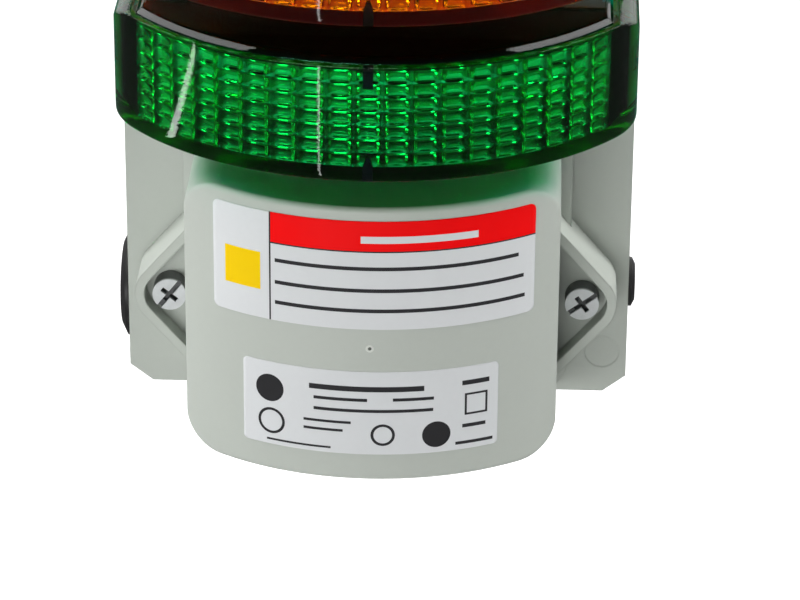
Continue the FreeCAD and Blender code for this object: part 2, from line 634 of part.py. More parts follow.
def make_cover_screws():
    """Two cheese-head screws with a slot and a cross in the head."""
    screws = []
    seat = "-(housing_depth + ear_floor)"
    face = "-(housing_depth + ear_floor + screw_head_rise)"
    for side, name in ((-1, "left"), (1, "right")):
        x = f"({side} * {EAR_X})"
        plain = screw(f"{name}_screw", x, seat, EAR_Z, "+y",
                      "screw_d", "screw_head_d", "screw_head_rise", "screw_length")
        screws.append(less(f"{name}_cover_screw", plain, [screw_drive(name, x, face, EAR_Z)]))
    return keep("cover_screws", grouped("cover_screw_pair", screws))


# Coloured lenses

def lens_plan(sketch, inset):
    """Lens outline moved in by an inset."""
    draw_half_drum(
        sketch, f"(housing_width - 2 * ({inset}))", f"(lens_arc - ({inset}))", f"(lens_corner - ({inset}))",
        f"({LENS_FRONT} - ({inset}))", LENS_BACK,
    )


def plateau_plan(sketch, inset):
    """Outline of the raised top, which leaves a ledge on both sides, moved in by an inset."""
    draw_half_drum(
        sketch, f"(housing_width - 2 * (lens_ledge + {inset}))", f"(lens_arc - ridge_width - {inset})",
        f"(plateau_corner - {inset})", f"({LENS_FRONT} - ridge_width - {inset})", LENS_BACK,
    )


def make_lens(tier, colour):
    """Half-drum lens: round shoulders, ridge, groove and plateau on top, pillow optics inside its front."""
    body = doc.addObject("PartDesign::Body", f"lens_{colour}_body")
    low = tier_low(tier)
    ridge = "(lens_height - ridge_drop)"
    plan = new_sketch(body, "plan", "XY_Plane", low)
    lens_plan(plan, "0")
    pad(body, plan, ridge)
    trim = new_sketch(body, "trim", "XZ_Plane", f"{LENS_BACK} - {OVERSHOOT}")
    rim = f"({low} + {ridge})"
    under, above = f"({low} - 2 * lens_shoulder)", f"({rim} + lens_shoulder)"
    draw_rectangle(trim, "-housing_width", f"{under} - lens_shoulder", "housing_width", above)
    draw_round_rectangle(trim, "housing_width", under, rim, "lens_shoulder")
    pocket(body, trim, f"{LENS_FRONT} - {LENS_BACK} + 2 * {OVERSHOOT}")
    bottom, rear = number(low), -number(LENS_BACK)
    round_edges(body, front_edges(body.Shape, bottom, rear), "lens_edge")

    moat = new_sketch(body, "moat", "XY_Plane", f"{low} + {ridge}")
    plateau_plan(moat, "0")
    pocket(body, moat, "groove_depth", back=True)
    plateau = new_sketch(body, "plateau", "XY_Plane", f"{low} + {ridge} - groove_depth")
    plateau_plan(plateau, "groove_width")
    pad(body, plateau, "groove_depth + ridge_drop")
    top = number(f"{low} + lens_height")
    round_edges(body, front_edges(body.Shape, top, rear), "plateau_bevel", "Chamfer")

    cavity = new_sketch(body, "cavity", "XY_Plane", f"{low} + lens_floor")
    draw_bow_box(
        cavity, "(housing_width - 2 * lens_cheek)", "(lens_arc - lens_wall)", f"({LENS_FRONT} - lens_wall)",
        f"({LENS_BACK} - {OVERSHOOT})",
    )
    pocket(body, cavity, CAVITY)
    floor, side = bottom + number("lens_floor"), number("housing_width / 2 - lens_cheek")
    corners = edges_where(
        body.Shape, lambda edge: lies_at(edge, "z", floor) and abs(abs(edge.CenterOfMass.x) - side) < TOUCH,
    )
    round_edges(body, corners, "window_corner")
    add_ticks(body, low)
    post_screw_holes(body, low, "lens_height")
    return keep(f"lens_{colour}", joined(f"lens_{colour}_whole", [body, make_optics(colour, low)]))


def make_optics(colour, low):
    """Pillow optics as one closed solid: a grid of low truncated pyramids on a band inside the bowed wall.

    A pillow's foot runs along the valleys between rows and columns; its face lies nearer the lamp.
    """
    inner = number("lens_arc - lens_wall")
    root, valley = inner + number("lens_wall / 2"), inner - number("optic_foot")
    face = inner - number("optic_depth")
    centre = number(f"lens_arc - {LENS_FRONT}")
    step = math.radians(number("optic_spread"))
    floor = number(f"{low} + lens_floor - optic_foot")
    pitch = number(f"({CAVITY} + 2 * optic_foot) / {OPTIC_ROWS}")
    bevel_across = number("optic_bevel") / (step * inner)
    bevel_up = number("optic_bevel") / pitch

    def spot(radius, column, row):
        angle = (column - OPTIC_COLUMNS / 2) * step
        return Vector(radius * math.sin(angle), centre - radius * math.cos(angle), floor + row * pitch)

    def ring(radius, column, row, across, up):
        left, right, under, over = column + across, column + 1 - across, row + up, row + 1 - up
        corners = [(left, under), (right, under), (right, over), (left, over)]
        return [spot(radius, *corner) for corner in corners]

    def flat(points):
        return Part.Face(Part.makePolygon(points + points[:1]))

    columns, rows = range(OPTIC_COLUMNS + 1), range(OPTIC_ROWS + 1)
    faces = []
    for row in (0, OPTIC_ROWS):
        border = [spot(valley, column, row) for column in columns]
        faces.append(flat(border + [spot(root, column, row) for column in columns[::-1]]))
    for column in (0, OPTIC_COLUMNS):
        border = [spot(valley, column, row) for row in rows]
        faces.append(flat(border + [spot(root, column, row) for row in (OPTIC_ROWS, 0)]))
    for column in range(OPTIC_COLUMNS):
        ends = [(column, 0), (column + 1, 0), (column + 1, OPTIC_ROWS), (column, OPTIC_ROWS)]
        faces.append(flat([spot(root, *end) for end in ends]))
        for row in range(OPTIC_ROWS):
            foot = ring(valley, column, row, 0, 0)
            top = ring(face, column, row, bevel_across, bevel_up)
            faces.append(flat(top))
            faces += [flat([foot[i - 1], foot[i], top[i], top[i - 1]]) for i in range(4)]
    shell = Part.makeShell(faces)
    shell.sewShape()
    solid = Part.Solid(shell)
    if solid.Volume < 0:
        solid.reverse()
    pillows = doc.addObject("Part::Feature", f"{colour}_pillows")
    pillows.Shape = solid
    return pillows


def add_ticks(body, low):
    """Centre lugs: a square one under the roof and a pointed one on the floor, inside the front wall."""
    depth = "(lens_wall / 2 + optic_depth + tick_proud)"
    half = "tick_width / 2"
    start = f"({LENS_FRONT} - lens_wall - optic_depth - tick_proud)"
    lugs = new_sketch(body, "lugs", "XZ_Plane", start)
    floor, roof = f"({low} + lens_floor)", f"({low} + lens_height - lens_roof)"
    draw_rectangle(lugs, f"-{half}", f"{roof} - tick_height", half, f"{roof} + tick_root")
    draw_polygon(lugs, [
        (f"-{half}", f"{floor} - tick_root"), (half, f"{floor} - tick_root"),
        (half, f"{floor} + tick_height / 2"), ("0", f"{floor} + tick_height"),
        (f"-{half}", f"{floor} + tick_height / 2"),
    ])
    pad(body, lugs, depth)


def post_screw_holes(body, low, height):
    """Two posts inside the cheeks, bored from the rear for the screws that hold the module to the plate."""
    middle = f"({low} + {height} / 2)"
    posts = new_sketch(body, "posts", "XZ_Plane", "housing_depth")
    pilots = new_sketch(body, "pilots", "XZ_Plane", f"housing_depth - {OVERSHOOT}")
    for way in (-1, 1):
        draw_circle(posts, "lens_post_d", f"{way} * {POST_X}", middle)
        draw_circle(pilots, "board_screw_d + hole_clearance", f"{way} * {POST_X}", middle)
    pad(body, posts, "lens_post_length")
    pocket(body, pilots, f"lens_post_length - post_end + {OVERSHOOT}")


def rear_frame(name, low, height, side_wall, floor, roof):
    """Flat seal with round corners between a module's rear rim and the plate, inset from both its edges."""
    body = doc.addObject("PartDesign::Body", name)
    ring = new_sketch(body, "ring", "XZ_Plane", "housing_depth")
    draw_round_rectangle(
        ring, "(housing_width - 2 * seal_room)", f"({low} + seal_room)", f"({low} + {height} - seal_room)",
        "lens_shoulder",
    )
    draw_round_rectangle(
        ring, f"(housing_width - 2 * {side_wall} + 2 * seal_room)", f"({low} + {floor} - seal_room)",
        f"({low} + {height} - {roof} + seal_room)", f"(lens_shoulder - {side_wall} + 2 * seal_room)",
    )
    pad(body, ring, "lens_seal")
    return body


def make_tier_shades():
    """Thin dark plates under the roofs of the lenses, which keep each tier's light out of the next."""
    shades = []
    inset = "(lens_wall + optic_depth + shade_room)"
    for tier, colour in enumerate(TIERS):
        body = doc.addObject("PartDesign::Body", f"{colour}_shade")
        roof = f"({tier_low(tier)} + lens_height - lens_roof)"
        plan = new_sketch(body, "plan", "XY_Plane", f"{roof} - shade_thick")
        draw_bow_box(
            plan, "shade_width", f"(lens_arc - {inset})", f"({LENS_FRONT} - {inset})",
            "(housing_depth + shade_back)",
        )
        pad(body, plan, "shade_thick")
        shades.append(body)
    return keep("tier_shades", grouped("tier_shade_set", shades))


def make_lens_seals():
    """One flat seal behind each lens."""
    rise = "(lens_height - ridge_drop)"
    roof = f"({rise} - lens_floor - {CAVITY})"
    seals = [
        rear_frame(f"{colour}_seal", tier_low(tier), rise, "lens_cheek", "lens_floor", roof)
        for tier, colour in enumerate(TIERS)
    ]
    return keep("lens_seals", grouped("lens_seal_set", seals))


# Top cap and sounder

def make_cap():
    """Closed half-drum on top, of the lenses' plan, with round edges and two posts."""
    body = doc.addObject("PartDesign::Body", "cap")
    plan = new_sketch(body, "plan", "XY_Plane", CAP_LOW)
    lens_plan(plan, "0")
    pad(body, plan, "cap_height")
    rear = -number(LENS_BACK)
    round_edges(body, front_edges(body.Shape, number(f"{CAP_LOW} + cap_height"), rear), "cap_edge")
    round_edges(body, front_edges(body.Shape, number(CAP_LOW), rear), "lens_edge")
    inside = new_sketch(body, "inside", "XY_Plane", f"{CAP_LOW} + cap_wall")
    draw_bow_box(
        inside, "(housing_width - 2 * lens_cheek)", "(lens_arc - cap_wall)", f"({LENS_FRONT} - cap_wall)",
        f"({LENS_BACK} - {OVERSHOOT})",
    )
    pocket(body, inside, "cap_height - 2 * cap_wall")
    post_screw_holes(body, CAP_LOW, "cap_height")
    return keep("top_cap", body)


def make_cap_seal():
    """Flat seal behind the cap."""
    ring = rear_frame("cap_seal_ring", CAP_LOW, "cap_height", "lens_cheek", "cap_wall", "cap_wall")
    return keep("cap_seal", ring)


def make_sounder():
    """Round piezo sounder on the plate, with its sound port in front."""
    middle = f"({CAP_LOW} + cap_height / 2)"
    can = rod("sounder_can", "sounder_d", "sounder_rise", "0", "-housing_depth", middle, "-y")
    port = rod(
        "sounder_port", "sounder_port_d", f"sounder_port_depth + {OVERSHOOT}", "0",
        f"-(housing_depth + sounder_rise + {OVERSHOOT})", middle, "+y",
    )
    return keep("sounder", less("sounder_body", can, [port]))


def make_module_screws():
    """Screws from inside the housing that hold the lenses and the cap."""
    seat = "-(housing_depth - housing_wall)"
    length = "housing_wall + lens_post_length - post_end - pilot_spare"
    screws = [
        screw(f"module_screw_{index}_{side + 1}", f"{side} * {POST_X}", seat, middle, "-y",
              "board_screw_d", "board_screw_head_d", "board_screw_head_rise", length)
        for index, middle in enumerate(module_middles()) for side in (-1, 1)
    ]
    return keep("module_screws", grouped("module_screw_set", screws))


# Boards, diodes and terminals

def board(label, width, height, middle, holes):
    """Circuit board standing on its pegs, with its screw holes."""
    plain = block(
        f"{label}_plain", f"-{width} / 2", f"-({BOARD_Y} + board_thick)", f"{middle} - {height} / 2",
        width, "board_thick", height,
    )
    drills = [
        rod(f"{label}_hole_{index}", "board_screw_d + hole_clearance", f"board_thick + 2 * {OVERSHOOT}",
            x, f"-({BOARD_Y} - {OVERSHOOT})", z, "-y")
        for index, (x, z) in enumerate(holes)
    ]
    return keep(label, less(f"{label}_drilled", plain, drills))


def make_led_tier(tier, colour):
    """Board of one tier with its row of diodes."""
    middle = tier_middle(tier)
    board(f"led_board_{colour}", "led_board_width", "led_board_height", middle, peg_places(tier))
    face = f"-({BOARD_Y} + board_thick + led_rise)"
    diodes = [
        block(f"{colour}_led_{index}", f"{index - (LEDS_PER_TIER - 1) / 2} * led_pitch - led_width / 2",
              face, f"{middle} - led_height / 2", "led_width", "led_rise", "led_height")
        for index in range(LEDS_PER_TIER)
    ]
    return keep(f"leds_{colour}", grouped(f"{colour}_led_row", diodes))


def make_board_screws():
    """Screws that hold the front boards on their pegs."""
    places = terminal_peg_places() + sum((peg_places(tier) for tier in range(len(TIERS))), [])
    screws = [
        screw(f"board_screw_{index}", x, f"-({BOARD_Y} + board_thick)", z, "+y",
              "board_screw_d", "board_screw_head_d", "board_screw_head_rise", "board_screw_length")
        for index, (x, z) in enumerate(places)
    ]
    return keep("board_screws", grouped("board_screw_set", screws))


def make_main_board():
    """Long board behind the plate that feeds every tier."""
    low, high = header_places()[0], header_places()[-1]
    face = "(housing_depth - housing_wall - board_stand)"
    plain = block(
        "main_plain", "-main_board_width / 2", f"-{face}", f"{low} - main_board_end",
        "main_board_width", "board_thick", f"{high} - {low} + 2 * main_board_end",
    )
    drills = [
        rod(f"main_hole_{index}", "board_screw_d + hole_clearance", f"board_thick + 2 * {OVERSHOOT}",
            x, f"-({face} + {OVERSHOOT})", z, "+y")
        for index, (x, z) in enumerate(main_peg_places())
    ]
    screws = [
        screw(f"main_screw_{index}", x, f"-({face} - board_thick)", z, "-y",
              "board_screw_d", "board_screw_head_d", "board_screw_head_rise", "board_screw_length")
        for index, (x, z) in enumerate(main_peg_places())
    ]
    keep("main_board", less("main_drilled", plain, drills))
    return keep("main_board_screws", grouped("main_screw_set", screws))


def make_link_headers():
    """Pin headers through the plate between the main board and the front boards."""
    headers = [
        block(f"header_{index}", "-header_width / 2", f"-{BOARD_Y}", f"{middle} - header_height / 2",
              "header_width", "2 * board_stand + housing_wall", "header_height")
        for index, middle in enumerate(header_places())
    ]
    return keep("link_headers", grouped("header_set", headers))


def make_terminals():
    """Terminal board, screw terminal strip with wire entries below, and its clamp screws."""
    pegs = terminal_peg_places()
    board("terminal_board", "terminal_board_width", "terminal_board_height", TERMINAL_Z, pegs)
    back = f"-({BOARD_Y} + board_thick)"
    front = f"-({BOARD_Y} + board_thick + terminal_depth)"
    low = f"({TERMINAL_Z} - terminal_height / 2)"
    length = f"({TERMINAL_WAYS} * terminal_pitch + 2 * terminal_end)"
    strip = block("strip", f"-{length} / 2", front, low, length, "terminal_depth", "terminal_height")
    tools, clamps = [], []
    for way in range(TERMINAL_WAYS):
        x = f"({way - (TERMINAL_WAYS - 1) / 2} * terminal_pitch)"
        tools.append(block(
            f"entry_{way}", f"{x} - terminal_entry / 2", f"{back} - terminal_depth / 2 - terminal_entry / 2",
            f"{low} - {OVERSHOOT}", "terminal_entry", "terminal_entry", f"terminal_entry_depth + {OVERSHOOT}",
        ))
        clamp_z = f"({low} + terminal_height - terminal_screw_d / 2 - terminal_end)"
        tools.append(rod(
            f"well_{way}", "terminal_screw_d + hole_clearance", f"2 * terminal_screw_rise + {OVERSHOOT}",
            x, f"{front} - {OVERSHOOT}", clamp_z, "+y",
        ))
        plain = rod(f"clamp_{way}_plain", "terminal_screw_d", "terminal_screw_rise", x,
                    f"{front} + 2 * terminal_screw_rise", clamp_z, "-y")
        slot = block(
            f"clamp_{way}_slot", f"{x} - terminal_screw_d", f"{front} + terminal_screw_rise - {OVERSHOOT}",
            f"{clamp_z} - screw_slot / 2", "2 * terminal_screw_d", f"{OVERSHOOT} + terminal_slot_depth",
            "screw_slot",
        )
        clamps.append(less(f"clamp_{way}", plain, [slot]))
    keep("terminal_block", less("strip_body", strip, tools))
    return keep("terminal_screws", grouped("clamp_set", clamps))


# Side plugs

def make_plugs():
    """Round push-in plugs that close the cable entries in the side walls, each on a flat seal."""
    seals = []
    for side, name, kind in ENTRIES:
        middle = entry_height(kind)
        body = doc.addObject("PartDesign::Body", f"{name}_plug")
        profile = new_sketch(body, "profile", "XZ_Plane", "plug_back", middle)
        wall = f"{side} * (housing_width / 2)"
        seat = f"{side} * (housing_width / 2 + plug_seal)"
        crown = f"{side} * (housing_width / 2 + plug_seal + {kind}_head_rise)"
        shoulder = f"{side} * (housing_width / 2 + plug_seal + {kind}_head_rise - {kind}_dome)"
        tail = f"{side} * (housing_width / 2 - plug_stem)"
        stem, bore, rim = f"{kind}_d / 2", f"{kind}_bore_d / 2", f"{kind}_head_d / 2"
        draw_polygon(profile, [
            (tail, bore), (tail, stem), (seat, stem), (seat, rim), (shoulder, rim),
            (crown, f"{rim} - 2 * {kind}_dome"), (crown, "0"), (seat, "0"), (seat, bore),
        ])
        turn = body.newObject("PartDesign::Revolution", f"{name}_turn")
        turn.Profile = profile
        turn.ReferenceAxis = (profile, ["H_Axis"])
        turn.Angle = 360
        doc.recompute()
        keep(f"side_plug_{name}", body)
        way = "+x" if side > 0 else "-x"
        ring = rod(f"{name}_ring", f"{kind}_head_d", "plug_seal", wall, "-plug_back", middle, way)
        hole = rod(f"{name}_ring_hole", f"{kind}_d + hole_clearance", f"plug_seal + 2 * {OVERSHOOT}",
                   f"{wall} - {side} * {OVERSHOOT}", "-plug_back", middle, way)
        seals.append(less(f"{name}_plug_seal", ring, [hole]))
    return keep("plug_seals", grouped("plug_seal_pair", seals))


def build():
    """Make every sub-part, check it and write its file."""
    make_housing()
    make_wall_gasket()
    make_cover()
    make_cover_seal()
    make_cover_screws()
    for tier, colour in enumerate(TIERS):
        make_lens(tier, colour)
        make_led_tier(tier, colour)
    make_tier_shades()
    make_lens_seals()
    make_cap()
    make_cap_seal()
    make_sounder()
    make_module_screws()
    make_board_screws()
    make_main_board()
    make_link_headers()
    make_terminals()
    make_plugs()
    doc.recompute()
    failed = [obj.Name for obj in doc.Objects if {"Invalid", "Error"} & set(obj.State)]
    if failed:
        raise RuntimeError(f"failed objects: {failed}")
    for label, obj in nodes.items():
        if obj.Shape.isNull() or not obj.Shape.isValid() or not obj.Shape.Solids:
            raise RuntimeError(f"{label} has no valid solid")
    os.makedirs("parts", exist_ok=True)
    for label, obj in nodes.items():
        obj.Shape.exportStep(f"parts/{label}.step")
        print(f"{label}: {len(obj.Shape.Solids)} solids, {obj.Shape.Volume:.0f} mm3")


build()
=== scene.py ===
"""Signal light, dressed: lenses with block optics, labels with plain fields, finishes, studio and camera."""

import math

import bmesh
import bpy
import numpy as np
from mathutils import Matrix, Vector


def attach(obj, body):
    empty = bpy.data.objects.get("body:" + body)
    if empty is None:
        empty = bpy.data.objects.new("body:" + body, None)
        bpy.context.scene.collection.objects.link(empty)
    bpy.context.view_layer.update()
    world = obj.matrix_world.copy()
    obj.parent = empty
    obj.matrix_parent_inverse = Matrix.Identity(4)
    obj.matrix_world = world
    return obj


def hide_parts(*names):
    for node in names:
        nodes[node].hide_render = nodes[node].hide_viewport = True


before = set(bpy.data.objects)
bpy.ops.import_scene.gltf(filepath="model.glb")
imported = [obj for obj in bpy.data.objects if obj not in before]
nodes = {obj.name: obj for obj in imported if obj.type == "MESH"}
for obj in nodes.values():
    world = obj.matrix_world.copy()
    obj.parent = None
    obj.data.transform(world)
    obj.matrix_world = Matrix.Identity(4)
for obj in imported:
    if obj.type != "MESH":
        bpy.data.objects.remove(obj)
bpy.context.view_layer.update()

MM = 0.001
MERGE_REACH = 2e-6         # metres; points nearer than this become one
SLIVER_WIDTH = 1e-7        # metres; thinner faces are taken out
FACE_MATCH = 1e-6          # metres; a face this near to a plane lies in it

# A lens, in mm, with heights over its underside
TIER_LOW = {"green": -23.15, "amber": 4.55, "red": 32.25}     # the undersides' own heights
HALF_WIDTH = 45.0          # from the middle to a straight side
DRUM_RADIUS = 52.0         # bowed front
DRUM_MIDDLE_Y = -15.2      # axis of every bow on the light
CORNER_RADIUS = 18.0       # between the bow and a straight side
LENS_REAR_Y = -24.8
RIM_HEIGHT = 20.8          # ridge round the top
SHOULDER_RADIUS = 4.5      # round upper corners, seen from the front
RING_HALF_WIDTH = 41.4     # groove in the top, from the middle to a straight side
RING_RADIUS = 51.0         # bow of the groove
RING_CORNER = 2.4
GROOVE_HEIGHT = 20.1
PLATEAU_HEIGHT = 21.4      # top, inside the groove
CHEEK_X = 39.0             # cavity, from the middle to a side
FLOOR_HEIGHT = 2.2
ROOF_HEIGHT = 19.45
OPTIC_RADIUS = 49.6        # bow of the cavity, which carries the optics
OPTIC_COLUMNS = 19
OPTIC_ROWS = 7
OPTIC_ANGLE = math.radians(5.45)
POST_X = 39.7
POST_HEIGHT = 10.7
POST_PROFILE = ((0.0, -24.85), (2.3, -24.85), (2.5, -25.05), (2.5, -34.6), (2.3, -34.8), (0.0, -34.8))
TICK_RADII = (51.92, 50.4)     # a tick mark's face and rear
LOWER_TICK = ((-0.85, 0.25), (0.85, 0.25), (0.85, 2.5), (0.3, 4.4), (-0.3, 4.4), (-0.85, 2.5))
UPPER_TICK = ((-0.85, 16.8), (0.85, 16.8), (0.85, 19.9), (-0.85, 19.9))

# The wiring cover, in mm
COVER_RADIUS = 47.1        # bowed front
LABEL_THICKNESS = 0.16
LABEL_SUNK = 0.03          # depth of a label's rear inside the cover
UPPER_LABEL = (-28.5, 29.95, -52.64, -32.44)      # left and right along the bow, low and high
LOWER_LABEL = (-22.49, 23.1, -76.68, -60.78)
UPPER_LABEL_CORNER = 1.1
LOWER_LABEL_CORNER = 0.8
GATE_X = 0.3               # middle of the moulding gate's mark
GATE_Z = -56.35
GATE_RING = ((0.3, 0.0), (0.36, 0.09), (0.42, 0.12), (0.56, 0.12), (0.64, 0.09), (0.74, -0.03), (0.3, -0.03),
             (0.3, 0.0))
# The gate's pit: a dark disc lying on the cover's face, painted shade for the hole.
GATE_PIT_SHADE = ((0.0, 0.02), (0.16, 0.02), (0.34, 0.02), (0.36, -0.03), (0.0, -0.03))


# Shapes

def add_object(name, data):
    """A new object that shows the data, linked to the scene."""
    made = bpy.data.objects.new(name, data)
    bpy.context.scene.collection.objects.link(made)
    return made


def quads(rows, columns, first=0):
    """Faces of a rows by columns grid of points: each joins four neighbours, in order."""
    corner = first + np.arange(rows - 1)[:, None] * columns + np.arange(columns - 1)[None, :]
    around = np.stack([corner, corner + 1, corner + columns + 1, corner + columns], -1)
    return around.reshape(-1, 4).tolist()


def make_piece(name, points, faces, finish, sharp_angle=30.0, painted_valley_shade=None):
    """A mesh piece from points in mm: doubles merged, faces turned outward, sharp edges kept over an angle.

    A share of painted shade for each point, if given, becomes an attribute of the mesh that its finish may
    read.
    """
    mesh = bpy.data.meshes.new(name)
    mesh.from_pydata((np.asarray(points, float) * MM).tolist(), [], faces)
    if painted_valley_shade is not None:
        shares = mesh.attributes.new("painted_valley_shade", "FLOAT", "POINT")
        shares.data.foreach_set("value", np.asarray(painted_valley_shade, np.float32))
    shape = bmesh.new()
    shape.from_mesh(mesh)
    bmesh.ops.remove_doubles(shape, verts=shape.verts, dist=MERGE_REACH)
    bmesh.ops.dissolve_degenerate(shape, edges=shape.edges, dist=SLIVER_WIDTH)
    bmesh.ops.recalc_face_normals(shape, faces=shape.faces)
    shape.to_mesh(mesh)
    shape.free()
    mesh.polygons.foreach_set("use_smooth", np.ones(len(mesh.polygons), bool))
    mesh.set_sharp_from_angle(angle=math.radians(sharp_angle))
    mesh.materials.append(finish)
    piece = add_object(name, mesh)
    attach(piece, "root")
    return piece


def rounded_line(corners, radii, steps=5):
    """A line of corners, each replaced by a parabola that starts and ends its radius away from the corner."""
    corners = np.asarray(corners, float)
    radii = np.asarray(radii, float)[:, None, None]
    before = np.roll(corners, 1, 0) - corners
    after = np.roll(corners, -1, 0) - corners
    before[0] = after[0]
    after[-1] = before[-1]
    before /= np.linalg.norm(before, axis=1, keepdims=True)
    after /= np.linalg.norm(after, axis=1, keepdims=True)
    t = np.linspace(0, 1, steps)[None, :, None]
    start = corners[:, None] + radii * before[:, None]
    end = corners[:, None] + radii * after[:, None]
    line = (1 - t) ** 2 * start + 2 * t * (1 - t) * corners[:, None] + t * t * end
    return line.reshape(-1, 2)


def lens_plans(front=80, corner=9, side=26):
    """The lens's outer plan and its top ring's plan, each with its outward ways, left rear to right rear.

    The right half is a bow (R sin a, axis - R cos a), a corner at its arc's middle plus r (sin a, -cos a)
    and a side x = constant; the left half mirrors it. The two plans match point for point: by a on the bow,
    by share round the corner and by y along the sides.
    """
    turn_x = HALF_WIDTH - CORNER_RADIUS
    reach = DRUM_RADIUS - CORNER_RADIUS
    turn_y = DRUM_MIDDLE_Y - math.sqrt(reach ** 2 - turn_x ** 2)
    bend = math.asin(turn_x / reach)
    ring_x = RING_HALF_WIDTH - RING_CORNER
    ring_reach = RING_RADIUS - RING_CORNER
    ring_y = DRUM_MIDDLE_Y - math.sqrt(ring_reach ** 2 - ring_x ** 2)
    ring_bend = math.asin(ring_x / ring_reach)
    meet = math.acos((turn_y - ring_y) / CORNER_RADIUS)
    y = np.linspace(ring_y, LENS_REAR_Y, side)[1:]
    bow = np.linspace(0, bend, front)
    side_turn = np.arccos(np.clip((turn_y - y) / CORNER_RADIUS, 0, 1))
    outer_turn = np.concatenate([np.linspace(bend, meet, corner)[1:], side_turn])
    ring_turn = np.linspace(ring_bend, math.pi / 2, corner)[1:]

    def ways(angle):
        """Outward ways at angles from the front."""
        return np.stack([np.sin(angle), -np.cos(angle)], 1)

    axis = np.array([0, DRUM_MIDDLE_Y])
    outer_y = np.concatenate([turn_y - CORNER_RADIUS * np.cos(outer_turn[:corner - 1]), y])
    outer_corner = np.stack([turn_x + CORNER_RADIUS * np.sin(outer_turn), outer_y], 1)
    outer = np.concatenate([axis + DRUM_RADIUS * ways(bow), outer_corner])
    outer_way = np.concatenate([ways(bow), ways(outer_turn)])
    ring_side = np.stack([np.full(len(y), RING_HALF_WIDTH), y], 1)
    ring_corner = np.array([ring_x, ring_y]) + RING_CORNER * ways(ring_turn)
    ring = np.concatenate([axis + RING_RADIUS * ways(bow), ring_corner, ring_side])
    ring_way = np.concatenate([ways(bow), ways(ring_turn), np.tile([1.0, 0.0], (len(y), 1))])
    halves = (outer, outer_way, ring, ring_way)
    return [np.concatenate([half[:0:-1] * (-1, 1), half]) for half in halves]


def shoulder_height(x):
    """Height of the round shoulder at an x from the lens's middle: a quarter circle down from the rim."""
    past = np.clip(np.abs(x) - HALF_WIDTH + SHOULDER_RADIUS, 0, SHOULDER_RADIUS)
    return RIM_HEIGHT - SHOULDER_RADIUS + np.sqrt(SHOULDER_RADIUS ** 2 - past ** 2)


def shoulder_reach(z):
    """Half-width that the round shoulder leaves at a height: the same quarter circle, read the other way."""
    past = np.clip(z - RIM_HEIGHT + SHOULDER_RADIUS, 0, SHOULDER_RADIUS)
    return HALF_WIDTH - SHOULDER_RADIUS + np.sqrt(SHOULDER_RADIUS ** 2 - past ** 2)


def lens_skin():
    """Rows of points over a lens's outside, from its underside over the wall, rim and groove to the plateau.

    A row is a plan moved in by the section's inset at the section's height, with the wall kept inside the
    shoulder. The lower sections start from the outer plan, the upper one from the ring's.
    """
    outer, outer_way, ring, ring_way = lens_plans()
    rim_width, rim_edge, last_angle = 0.3, 0.3, 66
    foot = rounded_line([(0.9, 0.0), (0.0, 0.0), (0.0, 2.0)], [0.0, 0.7, 0.0])
    angle = np.radians(np.linspace(0, last_angle, 12))
    rise = np.sin(angle) * SHOULDER_RADIUS + RIM_HEIGHT - SHOULDER_RADIUS
    wall = np.stack([np.zeros_like(rise), rise], 1)
    brim = rounded_line([(0.0, RIM_HEIGHT - rim_edge), (0.0, RIM_HEIGHT), (0.45, RIM_HEIGHT)],
                        [0.0, rim_edge, 0.0])
    section = np.concatenate([foot, wall, brim])
    place = outer[None] - section[:, None, :1] * outer_way[None]
    edge = shoulder_height((ring + rim_width * ring_way)[:, 0])
    z = np.minimum(section[:, 1:], edge[None])
    x = np.sign(place[..., 0]) * np.minimum(np.abs(place[..., 0]), shoulder_reach(z))
    lower = np.stack([x, place[..., 1], z], -1)

    section = rounded_line(
        [(-rim_width, RIM_HEIGHT), (0, RIM_HEIGHT), (0, GROOVE_HEIGHT), (1.1, GROOVE_HEIGHT), (1.1, 20.4),
         (2.1, PLATEAU_HEIGHT), (2.3, PLATEAU_HEIGHT)],
        [0.0, 0.2, 0.15, 0.15, 0.1, 0.3, 0.0])
    place = ring[None] - section[:, None, :1] * ring_way[None]
    z = np.broadcast_to(section[:, 1:], place.shape[:2])
    z = np.where(z <= RIM_HEIGHT, np.minimum(z, shoulder_height(place[..., 0])), z)
    return np.concatenate([lower, np.concatenate([place, z[..., None]], 2)])


def soft_step(t, start, end):
    """1 up to start on either side of 0, 0 past end, and a smooth slope between."""
    share = np.clip((end - np.abs(t)) / (end - start), 0, 1)
    return share * share * (3 - 2 * share)


